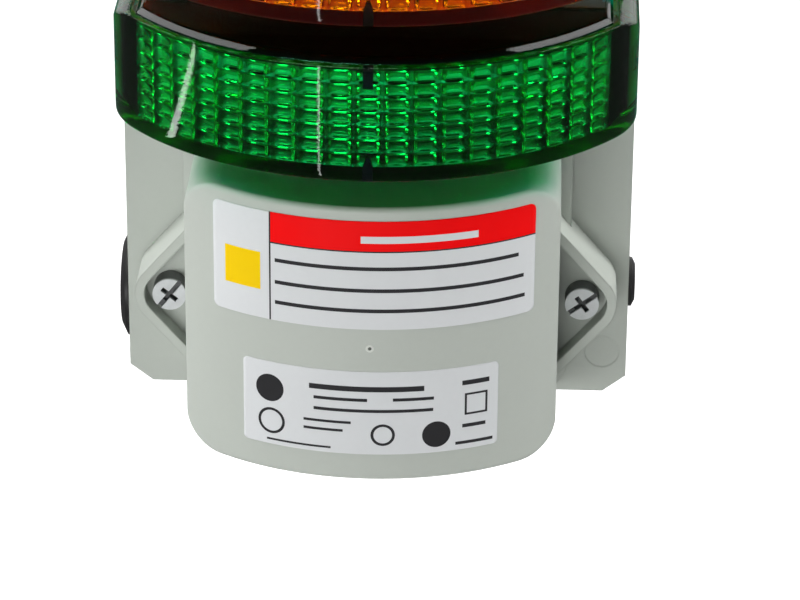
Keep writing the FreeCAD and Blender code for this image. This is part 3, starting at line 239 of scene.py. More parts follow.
def lens_optics(floor, roof):
    """Rows of points over the inner face of a lens's bow: blocks with domed faces in columns and rows.

    At angle a and height z the radius shrinks by foot + block * (rise + dome), with u and v from -1 to 1
    over one block, block = step(u) * (web + (1 - web) * step(v)) and dome = bulge * (1 - u^2) * (1 - v^2).
    The second result is each point's share of painted shade, which the finish turns dark: deep between two
    columns, less between two rows and near the bow's middle, and 0 on a block. It stands in for the shade
    that falls between the blocks and grows towards the sides, where they are seen at a slant.
    """
    per_column, per_row = 16, 14
    foot, rise, web, bulge = 0.05, 0.8, 0.3, 0.35
    near_end, near_zero = 1e-9, 1e-12
    reach = math.asin(CHEEK_X / OPTIC_RADIUS)
    span = OPTIC_COLUMNS * OPTIC_ANGLE / 2
    a = np.concatenate([[-reach], np.linspace(-span, span, OPTIC_COLUMNS * per_column + 1), [reach]])
    a, z = np.meshgrid(a, np.linspace(floor, roof, OPTIC_ROWS * per_row + 1))
    u = 2 * np.mod(a / OPTIC_ANGLE + OPTIC_COLUMNS / 2, 1) - 1
    v = 2 * np.mod((z - floor) / (roof - floor) * OPTIC_ROWS, 1) - 1
    block = soft_step(u, 0.46, 1.0) * (web + (1 - web) * soft_step(v, 0.6, 1.0))
    depth = foot + block * (rise + bulge * (1 - u * u) * (1 - v * v))
    outside = np.abs(a) > span + near_end
    radius = np.where(outside, CHEEK_X / np.sin(np.abs(a) + near_zero), OPTIC_RADIUS - depth)
    points = np.stack([radius * np.sin(a), DRUM_MIDDLE_Y - radius * np.cos(a), z], -1)

    # Painted shade between the blocks: darkest between columns, less between rows, more towards the sides.
    full_turn, row_share = 0.6, 0.45
    turned = np.clip(np.abs(a) / full_turn, 0, 1)
    in_column = soft_step(u, 0.5 - 0.24 * turned, 0.92 - 0.12 * turned)
    in_row = 1 - row_share * (1 - soft_step(v, 0.7, 1.0))
    painted_valley_shade = (1 - in_column * in_row) * (0.5 + 0.5 * turned)
    return points, painted_valley_shade


def make_lens(name, low, finish, floor_finish, shade_lining, node):
    """A lens: outer skin and inner optics, joined by flat faces below, on the plateau, behind and inside."""
    skin = lens_skin() + (0, 0, low)
    rows, columns = skin.shape[:2]
    faces = quads(rows, columns)
    faces.append(list(range(columns)))
    faces.append(list(range((rows - 1) * columns, rows * columns)))

    floor = low + FLOOR_HEIGHT
    roof = low + ROOF_HEIGHT
    optics, painted_valley_shade = lens_optics(floor, roof)
    inner_rows, inner_columns = optics.shape[:2]
    first = rows * columns
    faces += quads(inner_rows, inner_columns, first)

    rear = first + inner_rows * inner_columns
    corners = np.array([(-CHEEK_X, LENS_REAR_Y, floor), (CHEEK_X, LENS_REAR_Y, floor),
                        (CHEEK_X, LENS_REAR_Y, roof), (-CHEEK_X, LENS_REAR_Y, roof)])
    last = first + (inner_rows - 1) * inner_columns
    right_end = inner_columns - 1
    faces.append(list(range(first, first + inner_columns)) + [rear + 1, rear])
    faces.append(list(range(last, last + inner_columns)) + [rear + 2, rear + 3])
    faces.append(list(range(first, last + 1, inner_columns)) + [rear + 3, rear])
    faces.append(list(range(first + right_end, last + inner_columns, inner_columns)) + [rear + 2, rear + 1])
    left = list(range(0, rows * columns, columns))
    right = list(range(columns - 1, rows * columns, columns))
    faces.append(left + [rear + 3, rear])
    faces.append(right + [rear + 2, rear + 1])
    faces.append([left[0], right[0], rear + 1, rear])
    faces.append([left[-1], right[-1], rear + 2, rear + 3])

    points = np.concatenate([skin.reshape(-1, 3), optics.reshape(-1, 3), corners])
    # Painted shade lies only on the optics, none on the skin or the rear.
    painted_valley_shade = np.concatenate([np.zeros(rows * columns), painted_valley_shade.ravel(), np.zeros(len(corners))])
    piece = make_piece(name, points, faces, finish, sharp_angle=38.0, painted_valley_shade=painted_valley_shade)
    piece.data.materials.append(floor_finish)
    piece.data.materials.append(shade_lining)
    middle = np.empty(3 * len(piece.data.polygons))
    piece.data.polygons.foreach_get("center", middle)
    x, z = middle[::3], middle[2::3]
    # Floor faces take the floor finish; roof and cheek faces take the painted shade lining.
    on_floor = np.abs(z - floor * MM) < FACE_MATCH
    on_roof = np.abs(z - roof * MM) < FACE_MATCH
    on_cheek = np.abs(np.abs(x) - CHEEK_X * MM) < FACE_MATCH
    which = on_floor + 2 * (on_roof | on_cheek)
    piece.data.polygons.foreach_set("material_index", which.astype(np.int32))
    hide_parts(node)


def make_post(name, x, middle, finish):
    """A round post in a lens's cheek, for a module screw: circles (x + r cos t, y, z + r sin t), closed."""
    t = np.linspace(0, 2 * math.pi, 49)
    radius, y = np.array(POST_PROFILE).T[:, :, None]
    points = np.stack([x + radius * np.cos(t), np.broadcast_to(y, (len(y), len(t))),
                       middle + radius * np.sin(t)], -1)
    make_piece(name, points.reshape(-1, 3), quads(len(y), len(t)), finish)


def make_gate_mark(name, profile, finish):
    """Part of the moulding gate's trace on the cover: a profile of radii r and rises h, turned and closed.

    x = gate + r cos t, y = axis - sqrt((R + h)^2 - x^2) with R the cover's radius, and z = gate + r sin t.
    """
    t = np.linspace(0, 2 * math.pi, 41)
    radius, rise = np.array(profile).T[:, :, None]
    x = GATE_X + radius * np.cos(t)
    y = DRUM_MIDDLE_Y - np.sqrt((COVER_RADIUS + rise) ** 2 - x ** 2)
    points = np.stack([x, y, GATE_Z + radius * np.sin(t)], -1)
    make_piece(name, points.reshape(-1, 3), quads(len(profile), len(t)), finish)


def make_label(name, edges, corner, finish):
    """A thin plate bent round the cover's bow, as a grid of arc length s by height z.

    Near its lower and upper edge a row is shorter by corner - sqrt(corner^2 - rise^2), which rounds its
    corners. x = R sin(s / r) and y = axis - R cos(s / r), with r the cover's radius and R - r the thickness.
    """
    left, right, low, high = edges
    ends = corner * (1 - np.cos(np.linspace(0, math.pi / 2, 9)))
    z = np.concatenate([low + ends, np.linspace(low + corner, high - corner, 14)[1:-1], high - ends[::-1]])
    rise = np.maximum(0, np.maximum(low + corner - z, z - high + corner))
    short = corner - np.sqrt(np.maximum(0, corner ** 2 - rise ** 2))
    across = np.linspace(0, 1, 90)[None, :]
    s = (left + short)[:, None] * (1 - across) + (right - short)[:, None] * across
    radius = COVER_RADIUS + LABEL_THICKNESS
    points = np.stack([radius * np.sin(s / COVER_RADIUS),
                       DRUM_MIDDLE_Y - radius * np.cos(s / COVER_RADIUS),
                       np.broadcast_to(z[:, None], s.shape)], -1)
    piece = make_piece(name, points.reshape(-1, 3), quads(*s.shape), finish, sharp_angle=50.0)
    wall = piece.modifiers.new("thickness", "SOLIDIFY")
    wall.thickness = (LABEL_THICKNESS + LABEL_SUNK) * MM
    wall.offset = -1.0


def make_tick(name, low, outline, finish):
    """A tick lug set into a lens's bow, drawn near black as painted shade for the clear lug: an outline of
    (x, height) pairs between two radii R, closed.

    y = axis - sqrt(R^2 - x^2) for each pair and radius.
    """
    outline = np.asarray(outline, float)
    count = len(outline)
    radius = np.array(TICK_RADII)[:, None]
    x = np.broadcast_to(outline[None, :, 0], (2, count))
    y = DRUM_MIDDLE_Y - np.sqrt(radius ** 2 - x ** 2)
    points = np.stack([x, y, np.broadcast_to(outline[None, :, 1] + low, x.shape)], -1)
    ring = np.concatenate([points, points[:, :1]], 1)
    faces = quads(2, count + 1) + [list(range(count)), list(range(count + 1, 2 * count + 1))]
    make_piece(name, ring.reshape(-1, 3), faces, finish)


# Small steps in a tree of shader nodes

def connect(tree, node, **links):
    """Sets a node's sockets: a socket given as a value is linked, anything else becomes its own value.

    A socket is called by its name, with _ for a space, or by i and its place among the inputs.
    """
    for label, value in links.items():
        by_place = label[0] == "i" and label[1:].isdigit()
        socket = node.inputs[int(label[1:]) if by_place else label.replace("_", " ")]
        if isinstance(value, bpy.types.NodeSocket):
            tree.links.new(value, socket)
        else:
            socket.default_value = value
    return node


def maths(tree, operation, *values, clamp=False):
    """One Math node's result."""
    node = tree.nodes.new("ShaderNodeMath")
    node.operation = operation
    node.use_clamp = clamp
    return connect(tree, node, **{f"i{n}": v for n, v in enumerate(values)}).outputs[0]


def between(tree, value, low, high):
    """1 where a value lies between two limits, else 0."""
    above = maths(tree, "GREATER_THAN", value, low)
    below = maths(tree, "LESS_THAN", value, high)
    return maths(tree, "MULTIPLY", above, below)


def noise(tree, place, scale, detail=2.0, roughness=0.5):
    """A noise texture's value at a place."""
    node = tree.nodes.new("ShaderNodeTexNoise")
    return connect(tree, node, Vector=place, Scale=scale, Detail=detail, Roughness=roughness).outputs["Fac"]


def blend_colour(tree, share, first, second):
    """Two colours mixed by a share."""
    node = tree.nodes.new("ShaderNodeMix")
    node.data_type = "RGBA"
    return connect(tree, node, i0=share, i6=first, i7=second).outputs[2]


def object_place(tree):
    """Object coordinates, in metres."""
    return tree.nodes.new("ShaderNodeTexCoord").outputs["Object"]


def axes(tree, vector):
    """The X, Y and Z parts of a vector."""
    return connect(tree, tree.nodes.new("ShaderNodeSeparateXYZ"), Vector=vector).outputs


# Node groups shared by the finishes

def new_group(name, inputs, outputs):
    """An empty shader group with float or colour sockets: a default with three numbers makes a colour."""
    group = bpy.data.node_groups.new(name, "ShaderNodeTree")
    for label, default in inputs:
        kind = "NodeSocketColor" if isinstance(default, tuple) else "NodeSocketFloat"
        socket = group.interface.new_socket(label, in_out="INPUT", socket_type=kind)
        socket.default_value = (*default, 1.0) if isinstance(default, tuple) else default
    for label, kind in outputs:
        group.interface.new_socket(label, in_out="OUTPUT", socket_type=kind)
    return group, group.nodes.new("NodeGroupInput"), group.nodes.new("NodeGroupOutput")


def build_moulded_skin():
    """Moulded plastic: a faint cloud in tone and gloss, and a fine spark-eroded grain as height."""
    group, given, result = new_group(
        "moulded skin",
        [("Colour", (0.5, 0.5, 0.5)), ("Tone", 0.05), ("Grain", 2600.0), ("Gloss", 0.42),
         ("Gloss spread", 0.12)],
        [("Colour", "NodeSocketColor"), ("Roughness", "NodeSocketFloat"), ("Height", "NodeSocketFloat")])
    place = object_place(group)
    cloud = maths(group, "SUBTRACT", noise(group, place, scale=38.0, detail=4.0), 0.5)
    speck = maths(group, "SUBTRACT", noise(group, place, scale=900.0), 0.5)
    grain = noise(group, place, scale=given.outputs["Grain"], detail=3.0, roughness=0.6)
    shade = maths(group, "MULTIPLY_ADD", cloud, given.outputs["Tone"], 1.0)
    shade = maths(group, "MULTIPLY_ADD", speck, 0.035, shade)
    colour = group.nodes.new("ShaderNodeVectorMath")
    colour.operation = "SCALE"
    connect(group, colour, Vector=given.outputs["Colour"], Scale=shade)
    gloss = maths(group, "MULTIPLY_ADD", cloud, given.outputs["Gloss spread"], given.outputs["Gloss"])
    connect(group, result, Colour=colour.outputs[0], Roughness=gloss, Height=grain)
    return group


def build_handling_marks():
    """Glossy plastic that has been handled: soft smears and thin wiping lines as a roughness."""
    group, given, result = new_group(
        "handling marks", [("Clean", 0.03), ("Smeared", 0.12)], [("Roughness", "NodeSocketFloat")])
    place = object_place(group)
    stretch = group.nodes.new("ShaderNodeMapping")
    connect(group, stretch, Vector=place, Scale=(18.0, 60.0, 240.0))
    smear = noise(group, place, scale=46.0, detail=5.0, roughness=0.6)
    wipe = noise(group, stretch.outputs[0], scale=3.0, detail=3.0, roughness=0.6)
    amount = maths(group, "MULTIPLY", maths(group, "MULTIPLY_ADD", smear, 3.2, -1.5, clamp=True), wipe)
    spread = maths(group, "SUBTRACT", given.outputs["Smeared"], given.outputs["Clean"])
    connect(group, result, Roughness=maths(group, "MULTIPLY_ADD", amount, spread, given.outputs["Clean"]))
    return group


def build_settled_dust():
    """Dust on faces that look up: the normal's height, broken up by noise, as a mask."""
    group, given, result = new_group("settled dust", [("Amount", 0.15)], [("Mask", "NodeSocketFloat")])
    way = axes(group, group.nodes.new("ShaderNodeNewGeometry").outputs["Normal"])
    facing = maths(group, "MULTIPLY_ADD", way["Z"], 1.4, -0.4, clamp=True)
    patch = noise(group, object_place(group), scale=160.0, detail=6.0, roughness=0.7)
    mask = maths(group, "MULTIPLY", facing, maths(group, "MULTIPLY_ADD", patch, 2.2, -0.6, clamp=True))
    connect(group, result, Mask=maths(group, "MULTIPLY", mask, given.outputs["Amount"]))
    return group


moulded_skin = build_moulded_skin()
handling_marks = build_handling_marks()
settled_dust = build_settled_dust()


def place_group(tree, group, **values):
    """One use of a shared group with its own values."""
    node = tree.nodes.new("ShaderNodeGroup")
    node.node_tree = group
    return connect(tree, node, **values)


# Finishes

FINE_RELIEF = 0.00002      # metres; height of grain, ripple and fine lines
TRACK_RELIEF = 0.00004     # metres; height of a board's tracks
PRINT_RELIEF = 0.00001     # metres; height of a label's grain
DUST_COLOUR = (0.62, 0.61, 0.58, 1.0)
NEAR_BLACK = (0.002, 0.002, 0.002)


def new_finish(name):
    """A material with only its Principled shader and its output."""
    finish = bpy.data.materials.new(name)
    finish.use_nodes = True
    tree = finish.node_tree
    return finish, tree, tree.nodes["Principled BSDF"], tree.nodes["Material Output"]


def bump(tree, height, strength, distance, edge=0.0):
    """A Bump node's normal for a height times a distance, over edges rounded by a radius, both in metres."""
    node = tree.nodes.new("ShaderNodeBump")
    if edge:
        soft_edge = tree.nodes.new("ShaderNodeBevel")
        soft_edge.samples = 6
        connect(tree, soft_edge, Radius=edge)
        connect(tree, node, Normal=soft_edge.outputs[0])
    return connect(tree, node, Height=height, Strength=strength, Distance=distance).outputs[0]


def moulded(name, colour, tone=0.05, gloss=0.42, dust=0.12, specular=0.5, edge=0.0):
    """Moulded plastic or rubber with grain, a little dust on top and soft edges of a radius in metres."""
    finish, tree, shader, _ = new_finish(name)
    skin = place_group(tree, moulded_skin, Colour=(*colour, 1.0), Tone=tone, Gloss=gloss)
    dusty = place_group(tree, settled_dust, Amount=dust).outputs["Mask"]
    base = blend_colour(tree, dusty, skin.outputs["Colour"], DUST_COLOUR)
    rough = maths(tree, "MULTIPLY_ADD", dusty, 0.5, skin.outputs["Roughness"])
    normal = bump(tree, skin.outputs["Height"], 0.35, FINE_RELIEF, edge)
    connect(tree, shader, Base_Color=base, Roughness=rough, Specular_IOR_Level=specular, Normal=normal)
    return finish


def clear_lens(name, absorbed, tint, edge, painted_shade_tone):
    """Tinted clear plastic: glass whose body takes out absorbed (per metre).

    Lamps shine through it with a tint, its colour darkens to a shade tone where the optics carry painted
    shade between their blocks, and walls seen edge-on glow a little in the edge colour.
    """
    finish, tree, shader, output = new_finish(name)
    marks = place_group(tree, handling_marks, Clean=0.02, Smeared=0.1)
    # Painted shade: the base colour darkens towards the shade tone by each point's share.
    painted_shade_share = tree.nodes.new("ShaderNodeAttribute")
    painted_shade_share.attribute_name = "painted_valley_shade"
    base = blend_colour(tree, painted_shade_share.outputs["Fac"], (1.0, 1.0, 1.0, 1.0), (painted_shade_tone, painted_shade_tone, painted_shade_tone, 1.0))
    ripple = noise(tree, object_place(tree), scale=1500.0)
    connect(tree, shader, Base_Color=base, Roughness=marks.outputs["Roughness"], IOR=1.49,
            Transmission_Weight=1.0, Sheen_Weight=0.5, Sheen_Roughness=0.2, Sheen_Tint=(*edge, 1.0),
            Normal=bump(tree, ripple, 0.14, FINE_RELIEF))
    path = tree.nodes.new("ShaderNodeLightPath").outputs
    passing = maths(tree, "MAXIMUM", path["Is Shadow Ray"], path["Is Diffuse Ray"])
    open_way = tree.nodes.new("ShaderNodeBsdfTransparent")
    connect(tree, open_way, Color=(*tint, 1.0))
    choose = tree.nodes.new("ShaderNodeMixShader")
    connect(tree, choose, i0=passing, i1=shader.outputs[0], i2=open_way.outputs[0])
    body = tree.nodes.new("ShaderNodeVolumeAbsorption")
    density = max(absorbed)
    connect(tree, body, Color=(*(1.0 - np.array(absorbed) / density), 1.0), Density=density)
    connect(tree, output, Surface=choose.outputs[0], Volume=body.outputs[0])
    return finish


def floor_coat_with_shade_below(name, upper, lower):
    """A lens's inner floor: a pale coat seen from inside the lens, and painted shade seen from below."""
    finish, tree, shader, _ = new_finish(name)
    skin = place_group(tree, moulded_skin, Colour=(*upper, 1.0), Tone=0.08, Gloss=0.5)
    # Painted shade: seen from below, through the glass, the floor takes the dark lower colour.
    below = tree.nodes.new("ShaderNodeNewGeometry").outputs["Backfacing"]
    base = blend_colour(tree, below, skin.outputs["Colour"], (*lower, 1.0))
    connect(tree, shader, Base_Color=base, Roughness=skin.outputs["Roughness"], Specular_IOR_Level=0.1)
    return finish


def painted_shade_lining(name, glow):
    """Painted shade on a lens's roof and cheeks; to the rear the cheeks take a painted glow in its colour."""
    finish, tree, shader, _ = new_finish(name)
    skin = place_group(tree, moulded_skin, Colour=(*NEAR_BLACK, 1.0), Tone=0.2, Gloss=0.75)
    place = axes(tree, object_place(tree))
    # Painted glow: the cheeks' rear takes the glow colour instead of the painted shade.
    per_metre, turn_y = 300.0, -36.5 * MM
    rear = maths(tree, "MULTIPLY_ADD", place["Y"], per_metre, -per_metre * turn_y, clamp=True)
    on_cheek = maths(tree, "GREATER_THAN", maths(tree, "ABSOLUTE", place["X"]), (CHEEK_X - 0.5) * MM)
    base = blend_colour(tree, maths(tree, "MULTIPLY", rear, on_cheek), skin.outputs["Colour"], (*glow, 1.0))
    connect(tree, shader, Base_Color=base, Roughness=skin.outputs["Roughness"], Specular_IOR_Level=0.05)
    return finish


def metal(name, colour, gloss, face=None, metallic=1.0):
    """Bright zinc: cloudy in tone and gloss, fine lines as height, painted shade behind a face's y (mm) if
    given.
    """
    finish, tree, shader, _ = new_finish(name)
    colour = np.array(colour)
    place = object_place(tree)
    cloud = noise(tree, place, scale=700.0, detail=4.0, roughness=0.6)
    lines = noise(tree, place, scale=5200.0)
    base = blend_colour(tree, cloud, (*(0.82 * colour), 1.0), (*colour, 1.0))
    # Painted shade: behind the face the colour darkens, as in a screw's recess and round its head's side.
    if face is not None:
        per_metre, start = 1500.0, 0.1
        y = axes(tree, place)["Y"]
        behind = maths(tree, "MULTIPLY_ADD", y, per_metre, -per_metre * face * MM - start, clamp=True)
        base = blend_colour(tree, behind, base, (*(0.16 * colour), 1.0))
    rough = maths(tree, "MULTIPLY_ADD", cloud, 0.18, gloss - 0.09)
    normal = bump(tree, lines, 0.25, FINE_RELIEF)
    connect(tree, shader, Base_Color=base, Roughness=rough, Metallic=metallic, Normal=normal)
    return finish


def circuit_board(name, colour, track_tone=1.5):
    """Solder mask over copper: faint tracks from a stretched brick pattern."""
    finish, tree, shader, _ = new_finish(name)
    turn = tree.nodes.new("ShaderNodeMapping")
    connect(tree, turn, Vector=object_place(tree), Rotation=(math.pi / 2, 0.0, 0.0))
    tracks = tree.nodes.new("ShaderNodeTexBrick")
    connect(tree, tracks, Vector=turn.outputs[0], Scale=150.0, Mortar_Size=0.035, Color1=(0, 0, 0, 1),
            Color2=(0.1, 0.1, 0.1, 1), Mortar=(1, 1, 1, 1))
    track = tracks.outputs["Color"]
    base = blend_colour(tree, track, (*colour, 1.0), (*(track_tone * np.array(colour)), 1.0))
    connect(tree, shader, Base_Color=base, Roughness=0.35, Normal=bump(tree, track, 0.3, TRACK_RELIEF))
    return finish


INK = (0.03, 0.03, 0.032)
PAPER = (0.68, 0.7, 0.71)
RED = (0.95, 0.0, 0.001)
YELLOW = (0.9, 0.6, 0.0)


def label_sheet(name, fields, dots=()):
    """A printed sheet: plain boxes and discs of colour over pale paper, by arc length s and height z (mm).

    A box is (colour, left, right, low, high), a disc (colour, middle s, middle z, radius).
    """
    finish, tree, shader, _ = new_finish(name)
    place = axes(tree, object_place(tree))
    ahead = maths(tree, "SUBTRACT", DRUM_MIDDLE_Y * MM, place["Y"])
    along = maths(tree, "MULTIPLY", maths(tree, "ARCTAN2", place["X"], ahead), COVER_RADIUS)
    up = maths(tree, "MULTIPLY", place["Z"], 1.0 / MM)
    skin = place_group(tree, moulded_skin, Colour=(*PAPER, 1.0), Tone=0.03, Grain=1500.0, Gloss=0.34,
                       Gloss_spread=0.1)
    base = skin.outputs["Colour"]
    for colour, left, right, low, high in fields:
        inside = maths(tree, "MULTIPLY", between(tree, along, left, right), between(tree, up, low, high))
        base = blend_colour(tree, inside, base, (*colour, 1.0))
    for colour, middle_s, middle_z, radius in dots:
        far_s = maths(tree, "POWER", maths(tree, "SUBTRACT", along, middle_s), 2.0)
        far_z = maths(tree, "POWER", maths(tree, "SUBTRACT", up, middle_z), 2.0)
        inside = maths(tree, "LESS_THAN", maths(tree, "ADD", far_s, far_z), radius ** 2)
        base = blend_colour(tree, inside, base, (*colour, 1.0))
    normal = bump(tree, skin.outputs["Height"], 0.2, PRINT_RELIEF)
    connect(tree, shader, Base_Color=base, Roughness=skin.outputs["Roughness"], Specular_IOR_Level=0.15,
            Normal=normal)
    return finish


housing_plastic = moulded("housing plastic", (0.47, 0.505, 0.46), gloss=0.46, edge=0.0004)
cover_plastic = moulded("cover plastic", (0.49, 0.525, 0.48), gloss=0.44, edge=0.0005)
ring_grey = moulded("ring grey", (0.66, 0.69, 0.64), gloss=0.5, dust=0.0)
# A dark disc on the cover stands for the gate's pit: painted shade.
pit_shade_grey = moulded("pit shade grey", (0.12, 0.13, 0.115), gloss=0.7, dust=0.0, specular=0.2)
seal_rubber = moulded("seal rubber", (0.025, 0.025, 0.026), tone=0.3, gloss=0.62, dust=0.1)
black_plastic = moulded("black plastic", (0.018, 0.018, 0.019), tone=0.3, gloss=0.36, dust=0.1)
terminal_plastic = moulded("terminal plastic", (0.03, 0.2, 0.06), tone=0.15, gloss=0.4, dust=0.05)
diode_body = moulded("diode body", (0.62, 0.62, 0.56), tone=0.08, gloss=0.3, dust=0.0)
shade_black = moulded("shade black", NEAR_BLACK, tone=0.2, gloss=0.75, dust=0.0, specular=0.05)
board_green = circuit_board("board green", (0.012, 0.09, 0.035))
board_white = circuit_board("board white", (0.8, 0.8, 0.78), track_tone=1.12)
bright_zinc = metal("bright zinc", (0.78, 0.81, 0.82), gloss=0.38)
# Screws: bright zinc, with painted shade in the recess behind the head's face.
screw_zinc_and_shade = metal("screw zinc and shade", (0.9, 0.93, 0.94), gloss=0.42, face=-34.5, metallic=0.55)
# Pale coat on the amber and red floors, with painted shade on their undersides.
floor_coat_and_shade = floor_coat_with_shade_below("floor coat and shade", upper=(0.68, 0.68, 0.66), lower=(0.15, 0.035, 0.035))
# Each lens's shade tone sets how dark its painted shade between the optics is.
LENS_FINISH = {
    "green": clear_lens("green lens", absorbed=(1300.0, 65.0, 340.0), tint=(0.02, 0.73, 0.8),
                        edge=(0.0, 0.5, 0.3), painted_shade_tone=0.01),
    "amber": clear_lens("amber lens", absorbed=(12.0, 150.0, 1200.0), tint=(1.0, 0.66, 0.15),
                        edge=(0.8, 0.28, 0.02), painted_shade_tone=0.6),
    "red": clear_lens("red lens", absorbed=(40.0, 1100.0, 1100.0), tint=(0.95, 0.2, 0.2),
                      edge=(0.7, 0.02, 0.02), painted_shade_tone=0.08),
}
FLOOR_FINISH = {"green": LENS_FINISH["green"], "amber": floor_coat_and_shade, "red": floor_coat_and_shade}
# Painted glow on the rear of each lens's cheeks, in the lens's colour.
PAINTED_EDGE_GLOW = {"green": (0.0, 0.42, 0.75), "amber": (0.5, 0.16, 0.0), "red": (0.45, 0.0, 0.0)}
# Painted shade: the tick lugs, clear in the lens, are drawn near black.
TICK_SHADE_COLOUR = {"green": (0.0006, 0.0014, 0.0014), "amber": (0.0016, 0.0006, 0.0006),
               "red": (0.0016, 0.0005, 0.0005)}

FINISHED_NODES = (
    (housing_plastic, ("back_housing", "top_cap")),
    (cover_plastic, ("front_cover",)),
    (seal_rubber, ("wall_gasket", "cover_gasket", "lens_seals", "cap_seal", "plug_seals")),
    (black_plastic, ("side_plug_left", "side_plug_right", "sounder", "link_headers")),
    (shade_black, ("tier_shades",)),
    (terminal_plastic, ("terminal_block",)),
    (board_white, ("led_board_green", "led_board_amber", "led_board_red")),
    (board_green, ("main_board", "terminal_board")),
    (diode_body, ("leds_green", "leds_amber", "leds_red")),
    (screw_zinc_and_shade, ("cover_screws",)),
    (bright_zinc, ("module_screws", "board_screws", "main_board_screws", "terminal_screws")),
)
for finish, node_names in FINISHED_NODES:
    for node_name in node_names:
        mesh = nodes[node_name].data
        mesh.materials.clear()
        mesh.materials.append(finish)

for tier, low in TIER_LOW.items():
    lens_finish = LENS_FINISH[tier]
    shade_lining = painted_shade_lining(f"{tier} lining", PAINTED_EDGE_GLOW[tier])
    tick_shade_finish = moulded(f"{tier} tick", TICK_SHADE_COLOUR[tier], tone=0.2, gloss=0.6, dust=0.0, specular=0.05)
    make_lens(f"{tier}_lens", low, lens_finish, FLOOR_FINISH[tier], shade_lining, f"lens_{tier}")
    make_tick(f"{tier}_lower_tick", low, LOWER_TICK, tick_shade_finish)
    make_tick(f"{tier}_upper_tick", low, UPPER_TICK, tick_shade_finish)
    make_post(f"{tier}_left_post", -POST_X, low + POST_HEIGHT, lens_finish)
    make_post(f"{tier}_right_post", POST_X, low + POST_HEIGHT, lens_finish)

UPPER_FIELDS = (
    (RED, -17.2, 40.0, -38.0, -30.0),
    (INK, -17.35, -17.05, -60.0, -30.0),
    (INK, -17.2, 40.0, -38.22, -37.96),
    (PAPER, -1.3, 18.9, -36.5, -35.2),
    (YELLOW, -26.0, -19.0, -47.3, -40.3),
    (INK, -16.3, 26.6, -41.6, -40.9),
    (INK, -16.3, 27.7, -45.7, -45.0),
    (INK, -16.3, 28.0, -49.5, -48.8),
)
LOWER_FIELDS = (
    (INK, -10.2, 9.7, -64.6, -63.6),
    (INK, 16.4, 21.4, -64.3, -63.4),
    (INK, -9.4, -0.1, -66.5, -65.9),
    (INK, 4.3, 11.4, -66.4, -65.8),
    (INK, -9.4, 11.3, -68.6, -68.0),
    (INK, 16.9, 21.1, -70.1, -65.9),
    (PAPER, 17.3, 20.7, -69.7, -66.3),
    (INK, -11.2, -2.9, -70.9, -70.4),
    (INK, -11.2, -4.3, -72.5, -72.0),
    (INK, 16.5, 20.8, -72.5, -71.8),
    (INK, -18.0, -6.4, -75.9, -75.5),
    (INK, 15.3, 22.2, -75.7, -75.1),
)
LOWER_DOTS = (
    (INK, -17.4, -65.8, 2.6),
    (INK, -17.1, -72.1, 2.5),
    (PAPER, -17.1, -72.1, 2.0),
    (INK, 2.6, -72.9, 2.1),
    (PAPER, 2.6, -72.9, 1.6),
    (INK, 11.9, -73.2, 2.5),
)
upper_sheet = label_sheet("upper label sheet", UPPER_FIELDS)
lower_sheet = label_sheet("lower label sheet", LOWER_FIELDS, LOWER_DOTS)
make_gate_mark("gate_ring", GATE_RING, ring_grey)
make_gate_mark("gate_pit_shade", GATE_PIT_SHADE, pit_shade_grey)
make_label("upper_label", UPPER_LABEL, UPPER_LABEL_CORNER, upper_sheet)
make_label("lower_label", LOWER_LABEL, LOWER_LABEL_CORNER, lower_sheet)


# Studio and camera

LIGHT_MIDDLE = (0, -40, -20)
LEFT_SLANT = (-0.21, 0.8, -0.46)
RIGHT_SLANT = (0.21, 0.8, -0.46)
STRIP_SLANT = (0.142, -0.947, 0.287)
ACROSS = (1, 0, 0)
UPRIGHT = (0, 0, 1)
BEAM_POWER = {"green": 0.021, "amber": 0.09, "red": 0.012}
BEAM_HEIGHT = 11.0         # where a beam meets its lens, over the underside
BEAM_RISE = 77             # how much higher its lamp stands
WHITE = (1, 1, 1, 1)


def softbox(name, place, aim, along, size, power, diffuse=True, glossy=True, spread=180.0):
    """A rectangular lamp at a place (mm), turned to what it lights, with its length along a direction."""
    light = bpy.data.lights.new(name, "AREA")
    light.shape = "RECTANGLE"
    light.size = size[0] * MM
    light.size_y = size[1] * MM
    light.energy = power
    light.spread = math.radians(spread)
    lamp = add_object(name, light)
    away = (Vector(place) - Vector(aim)).normalized()
    side = (Vector(along) - away * away.dot(Vector(along))).normalized()
    turn = Matrix((side, away.cross(side), away)).transposed().to_4x4()
    lamp.matrix_world = Matrix.Translation(Vector(place) * MM) @ turn
    lamp.visible_camera = False
    lamp.visible_diffuse = diffuse
    lamp.visible_glossy = glossy


